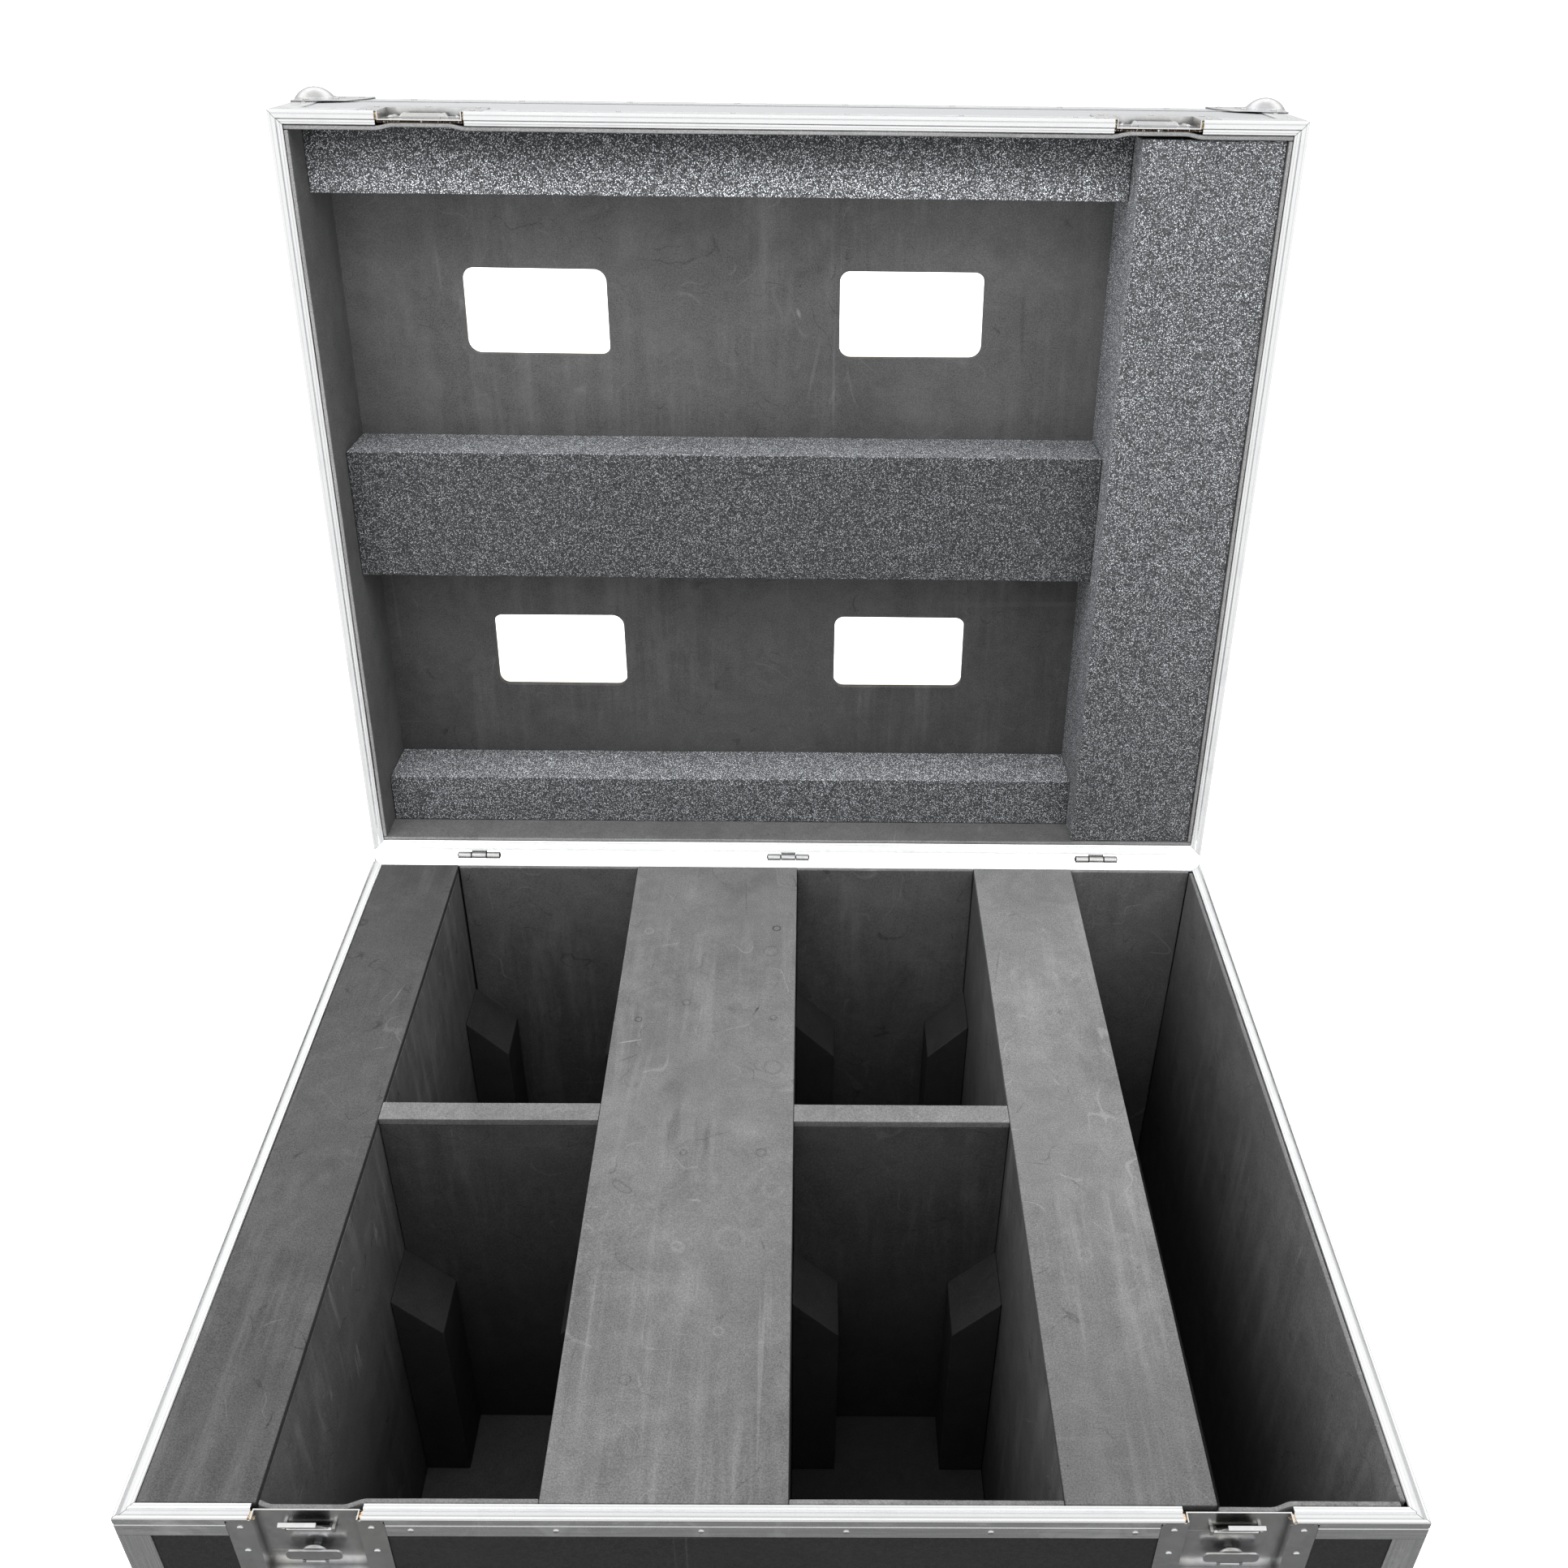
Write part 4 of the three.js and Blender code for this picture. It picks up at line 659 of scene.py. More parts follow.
def wobble(bm, amp, seed, freq=6.0, fix=None):
    for v in bm.verts:
        n = noise.noise_vector(v.co * freq + Vector((seed, seed * 1.7, -seed)))
        d = n * amp + noise.noise_vector(v.co * freq * 4 + Vector((seed, 3.1, seed))) * amp * 0.35
        if fix:
            d = fix(v.co, d)
        v.co += d


def rbox(name, lo, hi, mat, body, lid=False, bevel=0.0012, step=0.045, wob=0.0004, seed=0.0, seg=2, tweak=None):
    """Foam block: a cut slab with slightly uneven faces and softened edges."""
    lo, hi = Vector(lo), Vector(hi)
    bm = bmesh.new()
    bmesh.ops.create_cube(bm, size=1.0)
    for v in bm.verts:
        v.co = Vector([lo[k] + (v.co[k] + 0.5) * (hi[k] - lo[k]) for k in range(3)])
    for k in range(3):
        L = hi[k] - lo[k]
        n = int(L / step)
        no = Vector((0, 0, 0)); no[k] = 1
        for i in range(1, n + 1):
            co = Vector(lo); co[k] = lo[k] + L * i / (n + 1)
            bmesh.ops.bisect_plane(bm, geom=bm.verts[:] + bm.edges[:] + bm.faces[:], plane_co=co, plane_no=no)
    if tweak:
        for v in bm.verts:
            v.co = tweak(v.co.copy())
    if wob:
        wobble(bm, wob, seed or (len(name) * 1.37 + lo.x * 7 + lo.y * 3))
    o = from_bm(bm, name)
    return finish_obj(o, mat, body, lid, bevel, seg)


def thick(name, nu, nv, fa, fb, mat, body, lid=False, bevel=0.0014, wob=0.0003, seed=0.0):
    """Sheet between two surfaces fa(u, v) and fb(u, v), closed round its rim."""
    bm = bmesh.new()
    A = [[bm.verts.new(fa(i / nu, j / nv)) for j in range(nv + 1)] for i in range(nu + 1)]
    B = [[bm.verts.new(fb(i / nu, j / nv)) for j in range(nv + 1)] for i in range(nu + 1)]
    for i in range(nu):
        for j in range(nv):
            bm.faces.new((A[i][j], A[i + 1][j], A[i + 1][j + 1], A[i][j + 1]))
            bm.faces.new((B[i][j], B[i][j + 1], B[i + 1][j + 1], B[i + 1][j]))
    for i in range(nu):
        bm.faces.new((A[i][0], B[i][0], B[i + 1][0], A[i + 1][0]))
        bm.faces.new((A[i][nv], A[i + 1][nv], B[i + 1][nv], B[i][nv]))
    for j in range(nv):
        bm.faces.new((A[0][j], A[0][j + 1], B[0][j + 1], B[0][j]))
        bm.faces.new((A[nu][j], B[nu][j], B[nu][j + 1], A[nu][j + 1]))
    if wob:
        wobble(bm, wob, seed)
    o = from_bm(bm, name)
    return finish_obj(o, mat, body, lid, bevel)


def sstep(a, b, x):
    t = max(0.0, min(1.0, (x - a) / (b - a)))
    return t * t * (3 - 2 * t)


# ------------------------------------------------------------------ base foam
mm = 0.001
r_l, r_c, r_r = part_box("left_rib"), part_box("centre_rib"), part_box("right_rib")
d_l, d_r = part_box("left_divider"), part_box("right_divider")
CAP = 0.0098
LI, LJ = XO - 0.0215, YO - 0.0215
ZT = r_c[1].z                               # rib tops
Z0 = r_c[0].z


def rib(name, node, b, x0core, mat, seed, wall):
    lo, hi = b
    core = rbox(name + "_body", (x0core, -LJ + 0.0004, Z0), (hi.x - 0.0005, LJ - 0.0004, ZT - CAP - 0.0009), wall, "base", seed=seed, wob=0.0006, bevel=0.001)
    cap = rbox(name + "_top_sheet", (lo.x, lo.y, ZT - CAP), (hi.x, hi.y, ZT), mat, "base", seed=seed + 2, wob=0.00035, bevel=0.0013, step=0.03)
    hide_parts(node)
    return core, cap


rib("left_rib", "left_rib", r_l, -LI + 0.0004, EVA_RIB["left"], 1.3, EVA_WALL_L)
rib("centre_rib", "centre_rib", r_c, r_c[0].x + 0.0005, EVA_RIB["centre"], 4.4, EVA_WALL)
rib("right_rib", "right_rib", r_r, r_r[0].x + 0.0005, EVA_RIB["right"], 7.9, EVA_WALL)
for n, b, sd in (("left_divider", d_l, 2.2), ("right_divider", d_r, 5.1)):
    lo, hi = b
    rbox(n + "_body", (lo.x, lo.y + 0.0006, lo.z), (hi.x, hi.y - 0.0006, ZT - CAP - 0.0009), EVA_DIV, "base", seed=sd, wob=0.0005, bevel=0.001)
    c = rbox(n + "_top_strip", (lo.x, lo.y, ZT - CAP), (hi.x, hi.y, ZT), EVA_RIB["divider"], "base", seed=sd + 1, wob=0.0003, bevel=0.0012, step=0.02)
    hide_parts(n)

# Compartment pads and corner posts.
PX, PY, PZ, PD = 0.057, 0.079, 0.369, 0.061
for ny in ("front", "back"):
    for nx in ("left", "right"):
        node = f"insert_{ny}_{nx}"
        lo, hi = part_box(node)
        padz = lo.z + 0.010
        pad = rbox(node + "_pad", lo, (hi.x, hi.y, padz), EVA_PAD_SHADED if node == "insert_front_right" else EVA_PAD, "base", wob=0.0003, bevel=0.001)
        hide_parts(node)
        for ex, xa, sx in (("l", lo.x, 1), ("r", hi.x, -1)):
            for ey, ya, yb in (("f", lo.y, lo.y + PY), ("b", hi.y - PY, hi.y)):
                xb = xa + sx * PX

                def lean(co, xa=xa, sx=sx, z0=padz + 0.0002):
                    f = (co.z - z0) / (PZ - z0)
                    co.z = z0 + f * (PZ - PD * abs(co.x - xa) / PX - z0)
                    return co
                rbox(f"{node}_post_{ex}{ey}", (min(xa, xb), ya, padz + 0.0002), (max(xa, xb), yb, PZ), EVA_POST, "base", wob=0.0004, bevel=0.0014, tweak=lean)

# Lining sheets of the base. The front sheet relaxes outward into the latch gaps.
ZL = HB - 0.0012
LT = 0.0082                                # sheet thickness
NOTCH = 0.0513
LATCH_X = (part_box("latch_right_dish")[0].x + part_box("latch_right_dish")[1].x) / 2


def gap_bulge(x, amp, soft=0.02):
    """1 inside a latch gap, 0 outside, with soft shoulders."""
    return amp * max((sstep(-NOTCH - soft * 0.05, -NOTCH + soft, x - c) * (1 - sstep(NOTCH - soft, NOTCH + soft * 0.05, x - c))) for c in (-LATCH_X, LATCH_X))


cells = (("left", r_l[1].x + 0.0022, r_c[0].x - 0.0004), ("right", r_c[1].x + 0.0004, r_r[0].x - 0.0004), ("channel", r_r[1].x + 0.0004, LI - 0.0004))
LF = 0.0051                                # front sheet, free to flex in the latch gaps
for n, x0, x1 in cells:
    for side, sy in (("front", -1), ("back", 1)):
        amp = 0.0059 if side == "front" else 0.0
        T = LF

        def f(depth, x0=x0, x1=x1, sy=sy, amp=amp):
            def g(u, v):
                x = x0 + (x1 - x0) * u
                z = Z0 + (ZL - Z0) * v
                b = gap_bulge(x, amp) * sstep(ZL - 0.085, ZL - 0.004, z)
                return Vector((x, sy * (LJ + depth + b), z))
            return g
        thick(f"base_lining_{side}_{n}", max(8, int((x1 - x0) / 0.004)), 40, f(0.0), f(T), (EVA_CHAN if n == "channel" else EVA_BACK) if side == "back" else EVA_LINE, "base", seed=x0 * 9 + sy, wob=0.00035)
for n, sx in (("left", -1), ("right", 1)):
    top = ZL if n == "right" else ZT - CAP - 0.0009
    rbox(f"base_lining_{n}", (min(sx * LI, sx * (LI + LF)), -LJ, Z0), (max(sx * LI, sx * (LI + LF)), LJ, top), EVA_LINE, "base", wob=0.0005, bevel=0.0014)
# Backing strips behind the ribs keep the sheet continuous.
for side, sy in (("front", -1), ("back", 1)):
    for n, a, b in (("left", -LI, r_l[1].x), ("centre", r_c[0].x, r_c[1].x), ("right", r_r[0].x, r_r[1].x)):
        y0, y1 = sorted((sy * (LJ + 0.0002), sy * (LJ + LF)))
        rbox(f"base_lining_{side}_behind_{n}", (a, y0, Z0), (b, y1, ZT - CAP - 0.0009), EVA_PAD, "base", wob=0.0, bevel=0.001, step=0.2)
cp = rbox("channel_floor_pad", (r_r[1].x + 0.0004, -LJ + 0.0004, Z0), (LI - 0.0004, LJ - 0.0004, Z0 + 0.010), EVA_PAD, "base", wob=0.0004)
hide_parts("base_lining")

# ------------------------------------------------------------------ lid foam
ll, lh = shut_box("lid_lining")
QF = HB + 0.140                             # lining face
QT = lh.z                                   # back of the lining
WIN_X, WIN_U = (-0.332, 0.158), (0.256, 0.737)
WIN_W, WIN_H = 0.190, 0.113


def win_outline(cx, cy, w, h, seed, n=7):
    """Hand-cut opening: uneven corners."""
    rr = random.Random(seed)
    pts = []
    for sx, sy, a in ((1, 1, 0), (-1, 1, 90), (-1, -1, 180), (1, -1, 270)):
        r = 0.0125 + rr.uniform(-0.0015, 0.0055)
        ox, oy = rr.uniform(-0.0008, 0.0008), rr.uniform(-0.0008, 0.0008)
        for i in range(n + 1):
            t = math.radians(a + 90 * i / n)
            pts.append((cx + sx * (w / 2 - r) + r * math.cos(t) + ox, cy + sy * (h / 2 - r) + r * math.sin(t) + oy))
    return pts


def sheet2d(name, outer, holes, z0, z1, mat, bevel, lid=True, body="lid"):
    cu = bpy.data.curves.new(name + "_c", "CURVE")
    cu.dimensions = "2D"
    cu.fill_mode = "BOTH"
    for ring in [outer] + holes:
        s = cu.splines.new("POLY")
        s.points.add(len(ring) - 1)
        for p, q in zip(s.points, ring):
            p.co = (q[0], q[1], 0, 1)
        s.use_cyclic_u = True
    cu.extrude = (z1 - z0) / 2 - bevel
    cu.bevel_depth = bevel
    cu.bevel_resolution = 1
    cu.offset = -bevel
    tmp = bpy.data.objects.new(name + "_t", cu)
    bpy.context.scene.collection.objects.link(tmp)
    bpy.context.view_layer.update()
    me = bpy.data.meshes.new_from_object(tmp.evaluated_get(bpy.context.evaluated_depsgraph_get()))
    bpy.data.objects.remove(tmp)
    bm = bmesh.new()
    bm.from_mesh(me)
    bmesh.ops.remove_doubles(bm, verts=bm.verts, dist=1e-6)
    for v in bm.verts:
        v.co.z += (z0 + z1) / 2
    me2 = bpy.data.meshes.new(name)
    bmesh.ops.recalc_face_normals(bm, faces=bm.faces)
    bm.to_mesh(me2)
    bm.free()
    o = bpy.data.objects.new(name, me2)
    return finish_obj(o, mat, body, lid, 0.0)


holes = []
for i, x in enumerate(WIN_X):
    for j, u in enumerate(WIN_U):
        holes.append(win_outline(x, YO - u, WIN_W - 0.003, WIN_H - 0.003, 11 + i * 5 + j * 3)[::-1])
gx, gy = XO - 0.0110, YO - 0.0110
lt = sheet2d("lid_lining_top_sheet", [(-gx, -gy), (gx, -gy), (gx, gy), (-gx, gy)], holes, QF, QT, EVA_LID, 0.0006)
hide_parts("lid_lining")
ZB = HB + 0.0012
for side, sy in (("front", -1), ("back", 1)):
    amp = 0.0034 if side == "front" else 0.0
    T = LF

    def f(depth, sy=sy, amp=amp):
        def g(u, v):
            x = -LI - LF + 2 * (LI + LF) * u
            z = ZB + (QF - 0.0003 - ZB) * v
            b = gap_bulge(x, amp) * (1 - sstep(ZB + 0.004, ZB + 0.07, z))
            return Vector((x, sy * (LJ + depth + b), z))
        return g
    thick(f"lid_lining_{side}", 300, 16, f(0.0), f(T), EVA_LIDWALL, "lid", lid=True, seed=3 + sy, wob=0.0004)
for n, sx in (("left", -1), ("right", 1)):
    rbox(f"lid_lining_{n}", (min(sx * LI, sx * (LI + LF)), -LJ + 0.0003, ZB), (max(sx * LI, sx * (LI + LF)), LJ - 0.0003, QF - 0.0003), EVA_LIDWALL, "lid", lid=True, wob=0.0005, bevel=0.0014)

for i, n in enumerate(("lid_bar_back", "lid_bar_middle", "lid_bar_front", "lid_side_block")):
    lo, hi = shut_box(n)
    o = rbox(n + "_foam", lo, hi, PE[i], "lid", lid=True, wob=0.0007, bevel=0.0016, step=0.04, seed=3.3 * i + 1)
    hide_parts(n)

# ------------------------------------------------------------------ CAD looks
ALU = mat_alu("aluminium_angle")
ALU_LID = mat_alu("aluminium_angle_lid", lid=True)
RAIL = mat_alu("aluminium_rail", mitre=True)
RAIL_LID = mat_alu("aluminium_rail_lid", lid=True, mitre=True)
ZINC_CADLID = mat_zinc("zinc_plate_cad_lid", lid=True)
LAM = {"x": mat_laminate("laminate_x", "x"), "y": mat_laminate("laminate_y", "y"), "z": mat_laminate("laminate_z", "z")}
LAM_LID = mat_laminate("laminate_lid", "z", lid=True, pale=0.55)
LAM_RING = mat_laminate("laminate_lid_walls", "ring", lid=True)


def cad(node, mat, weld=True, bevel=0.0, smooth=False, seg=2):
    o = NODES[node]
    o.data.materials.clear()
    o.data.materials.append(mat)
    if weld:
        w = o.modifiers.new("weld", "WELD")
        w.merge_threshold = 0.00002
    if bevel:
        b = o.modifiers.new("edge", "BEVEL")
        b.width = bevel
        b.segments = seg
        b.limit_method = "ANGLE"
        b.angle_limit = math.radians(40)
        b.use_clamp_overlap = True
    if smooth or bevel:
        for p in o.data.polygons:
            p.use_smooth = True
        wn = o.modifiers.new("normals", "WEIGHTED_NORMAL")
        wn.keep_sharp = True
    return o


for n in NODES:
    if "rail" in n:
        cad(n, RAIL_LID if n.startswith("lid") else RAIL)
    elif "edge_frame" in n:
        cad(n, ALU_LID if n.startswith("lid") else ALU)
    elif n == "lid_top_panel":
        cad(n, LAM_LID)
    elif n == "lid_wall_frame":
        cad(n, LAM_RING)
    elif n in ("base_front_panel", "base_back_panel"):
        cad(n, LAM["y"])
    elif n in ("base_left_panel", "base_right_panel"):
        cad(n, LAM["x"])
    elif n == "base_floor_panel":
        cad(n, LAM["z"])
    elif n.startswith("hinge"):
        cad(n, ZINC_HINGE_LID if n.endswith("_lid_leaf") else ZINC_HINGE, bevel=0.0003)
    elif n.endswith("_keeper"):
        cad(n, ZINC_CADLID, bevel=0.0003)
    elif n.startswith("castor") and not n.endswith("wheel"):
        cad(n, STEEL, bevel=0.0005)
    elif n.startswith(("latch", "handle")) and not n.endswith("grip"):
        cad(n, ZINC, bevel=0.0003)

# ------------------------------------------------------------------ wheels


def lathe(name, prof, n, mat, body, center, axis="x"):
    bm = bmesh.new()
    rings = []
    for k in range(n):
        a = 2 * math.pi * k / n
        rings.append([bm.verts.new((center[0] + p[1], center[1] + p[0] * math.cos(a), center[2] + p[0] * math.sin(a))) for p in prof])
    m = len(prof)
    for k in range(n):
        A, B = rings[k], rings[(k + 1) % n]
        for i in range(m):
            bm.faces.new((A[i], A[(i + 1) % m], B[(i + 1) % m], B[i]))
    o = from_bm(bm, name)
    return finish_obj(o, mat, body, False, 0.0)


for ny in ("front", "back"):
    for nx in ("left", "right"):
        node = f"castor_{ny}_{nx}_wheel"
        lo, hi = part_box(node)
        c = (lo + hi) / 2
        R = (hi.z - lo.z) / 2
        tyre = [(0.0375, -0.0165), (R - 0.007, -0.0166), (R - 0.003, -0.0155), (R - 0.0008, -0.0125), (R, -0.008), (R, 0.008), (R - 0.0008, 0.0125), (R - 0.003, 0.0155), (R - 0.007, 0.0166), (0.0375, 0.0165)]
        t = lathe(f"castor_{ny}_{nx}_tyre", tyre, 72, TYRE, node, c)
        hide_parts(node)
        hub = [(0.0058, -0.0188), (0.0118, -0.0188), (0.0126, -0.0178), (0.0135, -0.0125), (0.032, -0.0095), (0.0345, -0.0145), (0.0372, -0.0145), (0.0372, 0.0145), (0.0345, 0.0145), (0.032, 0.0095), (0.0135, 0.0125), (0.0126, 0.0178), (0.0118, 0.0188), (0.0058, 0.0188)]
        lathe(f"castor_{ny}_{nx}_hub", hub, 48, HUB, node, c)

# ------------------------------------------------------------------ rivets


def dome(bm, p, n, r=0.0036, h=0.0013, seg=14):
    """Closed rivet head on a face with outward normal n."""
    n = Vector(n).normalized()
    t = n.orthogonal().normalized()
    b = n.cross(t)
    rings = []
    for rr, hh in ((r, -0.0003), (r, 0.0002), (r * 0.93, h * 0.5), (r * 0.68, h * 0.86), (r * 0.34, h)):
        rings.append([bm.verts.new(p + n * hh + (t * math.cos(2 * math.pi * k / seg) + b * math.sin(2 * math.pi * k / seg)) * rr) for k in range(seg)])
    for a, c in zip(rings, rings[1:]):
        for k in range(seg):
            bm.faces.new((a[k], a[(k + 1) % seg], c[(k + 1) % seg], c[k]))
    bm.faces.new(rings[-1])
    bm.faces.new(rings[0][::-1])


def spread(a, b, n):
    return [a + (b - a) * (i + 0.5) / n for i in range(n)]


rb, rlid = bmesh.new(), bmesh.new()
for sx in (-1, 1):
    for sy in (-1, 1):
        for z in spread(0.075, HB - 0.05, 5):
            dome(rb, Vector((sx * (XO - 0.018), sy * YO, z)), (0, sy, 0))
            dome(rb, Vector((sx * XO, sy * (YO - 0.018), z)), (sx, 0, 0))
        zc = HB + 0.085
        dome(rlid, Vector((sx * (XO - 0.018), sy * YO, zc)), (0, sy, 0))
        dome(rlid, Vector((sx * XO, sy * (YO - 0.018), zc)), (sx, 0, 0))
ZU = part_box("base_edge_frame")[0].z
z_under = -0.0015
TOPQ = HB + 0.160
for sy in (-1, 1):
    for x in spread(-XO + 0.07, XO - 0.07, 8):
        dome(rb, Vector((x, sy * YO, 0.014)), (0, sy, 0))
        dome(rb, Vector((x, sy * (YO - 0.017), z_under)), (0, 0, -1))
        dome(rlid, Vector((x, sy * YO, TOPQ - 0.015)), (0, sy, 0))
        dome(rlid, Vector((x, sy * (YO - 0.016), TOPQ)), (0, 0, 1))
        if abs(abs(x) - LATCH_X) >= 0.085 or sy > 0:
            if sy < 0 or all(abs(x - h) > 0.045 for h in (-0.448, 0, 0.448)):
                dome(rb, Vector((x, sy * YO, HB - 0.018)), (0, sy, 0), 0.003, 0.001)
                dome(rlid, Vector((x, sy * YO, HB + 0.018)), (0, sy, 0), 0.003, 0.001)
for sx in (-1, 1):
    for y in spread(-YO + 0.07, YO - 0.07, 6):
        dome(rb, Vector((sx * XO, y, 0.014)), (sx, 0, 0))
        dome(rb, Vector((sx * (XO - 0.017), y, z_under)), (0, 0, -1))
        dome(rlid, Vector((sx * XO, y, TOPQ - 0.015)), (sx, 0, 0))
        dome(rlid, Vector((sx * (XO - 0.016), y, TOPQ)), (0, 0, 1))
        dome(rb, Vector((sx * XO, y, HB - 0.018)), (sx, 0, 0), 0.003, 0.001)
        dome(rlid, Vector((sx * XO, y, HB + 0.018)), (sx, 0, 0), 0.003, 0.001)
# Latch, hinge and handle rivets.
for c in (-LATCH_X, LATCH_X):
    for dx in (-0.0595, 0.0595):
        for z in (HB - 0.014, HB - 0.052, HB - 0.1):
            dome(rb, Vector((c + dx, -YO, z)), (0, -1, 0), 0.0032, 0.0012)
        for z in (HB + 0.013, HB + 0.05):
            dome(rlid, Vector((c + dx, -YO, z)), (0, -1, 0), 0.0032, 0.0012)
    dome(rb, Vector((c, -YO, HB - 0.1035)), (0, -1, 0), 0.0032, 0.0012)
    dome(rlid, Vector((c, -YO, HB + 0.0535)), (0, -1, 0), 0.0032, 0.0012)
for hx in (-0.448, 0.0, 0.448):
    for dx in (-0.02, 0.0, 0.02):
        zz = 0.027 if dx == 0 else 0.019
        dome(rb, Vector((hx + dx, YO + 0.0021, HB - zz)), (0, 1, 0), 0.0028, 0.001)
        dome(rlid, Vector((hx + dx, YO + 0.0021, HB + zz)), (0, 1, 0), 0.0028, 0.001)
for sx in (-1, 1):
    for dy in (-0.079, 0.079):
        for dz in (-0.052, 0.0, 0.052):
            dome(rb, Vector((sx * XO, dy, 0.33 + dz)), (sx, 0, 0), 0.003, 0.0012)
o = finish_obj(from_bm(rb, "base_rivets"), ZINC, "base")
o = finish_obj(from_bm(rlid, "lid_rivets"), ZINC_LID, "lid", lid=True)

# ------------------------------------------------------------------ ball corners


def ball_corner(name, P, s, body, lid=False, leg=0.085, low=0.042, t0=0.0004, t1=0.0018, n=26):
    """Pressed ball corner: three rounded petals on the faces and a dome over the corner."""
    s = Vector(s)                            # outward signs
    bm = bmesh.new()
    C = Vector([P[k] - s[k] * 0.0150 for k in range(3)])
    R = 0.0293
    # The flap under the base is short, clear of the castor plate.
    legs = [leg, leg, leg if lid else low]
    grid = {}

    def vert(co):
        key = tuple(round(c, 6) for c in co)
        if key not in grid:
            grid[key] = bm.verts.new(co)
        return grid[key]

    def surf(k, a, b, off):
        i, j = [x for x in range(3) if x != k]
        # square to rounded petal
        aa = a * math.sqrt(1 - b * b / 2) * 1.0
        bb = b * math.sqrt(1 - a * a / 2) * 1.0
        wide = 0.062
        Li = (legs[2] if k == 2 else (leg if i < 2 else wide))
        Lj = (legs[2] if k == 2 else (leg if j < 2 else wide))
        co = Vector((0, 0, 0))
        co[k] = P[k] + s[k] * off
        co[i] = P[i] + s[i] * off - s[i] * aa * (Li + off)
        co[j] = P[j] + s[j] * off - s[j] * bb * (Lj + off)
        d = co - C
        RR = R - (t1 - off)
        if d.length < RR:
            co = C + d.normalized() * RR
        elif d.length < RR + 0.004:
            # small fillet where the dome meets the flap
            w = 1 - (d.length - RR) / 0.004
            co[k] += s[k] * 0.0012 * w * w
        return co
    for k in range(3):
        for off, flip in ((t1, 1), (t0, -1)):
            g = [[vert(surf(k, a / n, b / n, off)) for b in range(n + 1)] for a in range(n + 1)]
            for a in range(n):
                for b in range(n):
                    q = [g[a][b], g[a + 1][b], g[a + 1][b + 1], g[a][b + 1]]
                    if len(set(q)) >= 3:
                        try:
                            bm.faces.new(q)
                        except ValueError:
                            pass
        # rim wall of this petal
        go = [surf(k, a / n, 1.0, t1) for a in range(n + 1)] + [surf(k, 1.0, b / n, t1) for b in range(n - 1, -1, -1)]
        gi = [surf(k, a / n, 1.0, t0) for a in range(n + 1)] + [surf(k, 1.0, b / n, t0) for b in range(n - 1, -1, -1)]
        for q in range(len(go) - 1):
            f = [vert(go[q]), vert(go[q + 1]), vert(gi[q + 1]), vert(gi[q])]
            if len(set(f)) >= 3:
                try:
                    bm.faces.new(f)
                except ValueError:
                    pass
    bmesh.ops.remove_doubles(bm, verts=bm.verts, dist=1e-6)
    o = from_bm(bm, name)
    finish_obj(o, ZINC_LID if lid else ZINC, body, lid, 0.0)
    rv = bmesh.new()
    for k in range(3):
        i, j = [x for x in range(3) if x != k]
        nrm = Vector((0, 0, 0)); nrm[k] = s[k]
        short = k == 2 and not lid
        for a, b in (((0.034, 0.010), (0.010, 0.034)) if short else ((0.048, 0.013), (0.013, 0.048), (0.046, 0.034), (0.072, 0.013) if i < 2 else (0.013, 0.072))):
            if (a > (leg if i < 2 else 0.062) - 0.008 and k != 2) or (b > (leg if j < 2 else 0.062) - 0.008 and k != 2):
                continue
            p = Vector((0, 0, 0))
            p[k] = P[k] + s[k] * t1
            p[i] = P[i] - s[i] * a
            p[j] = P[j] - s[j] * b
            if (p - C).length < R + 0.006:
                continue
            dome(rv, p, nrm, 0.0036, 0.0016)
    finish_obj(from_bm(rv, name + "_rivets"), ZINC_LID if lid else ZINC, body, lid, 0.0)
    return o


for nx, sx in (("left", -1), ("right", 1)):
    for ny, sy in (("front", -1), ("back", 1)):
        ball_corner(f"base_ball_corner_{ny}_{nx}", (sx * XO, sy * YO, z_under), (sx, sy, -1), "base")
        ball_corner(f"lid_ball_corner_{ny}_{nx}", (sx * XO, sy * YO, TOPQ), (sx, sy, 1), "lid", lid=True)

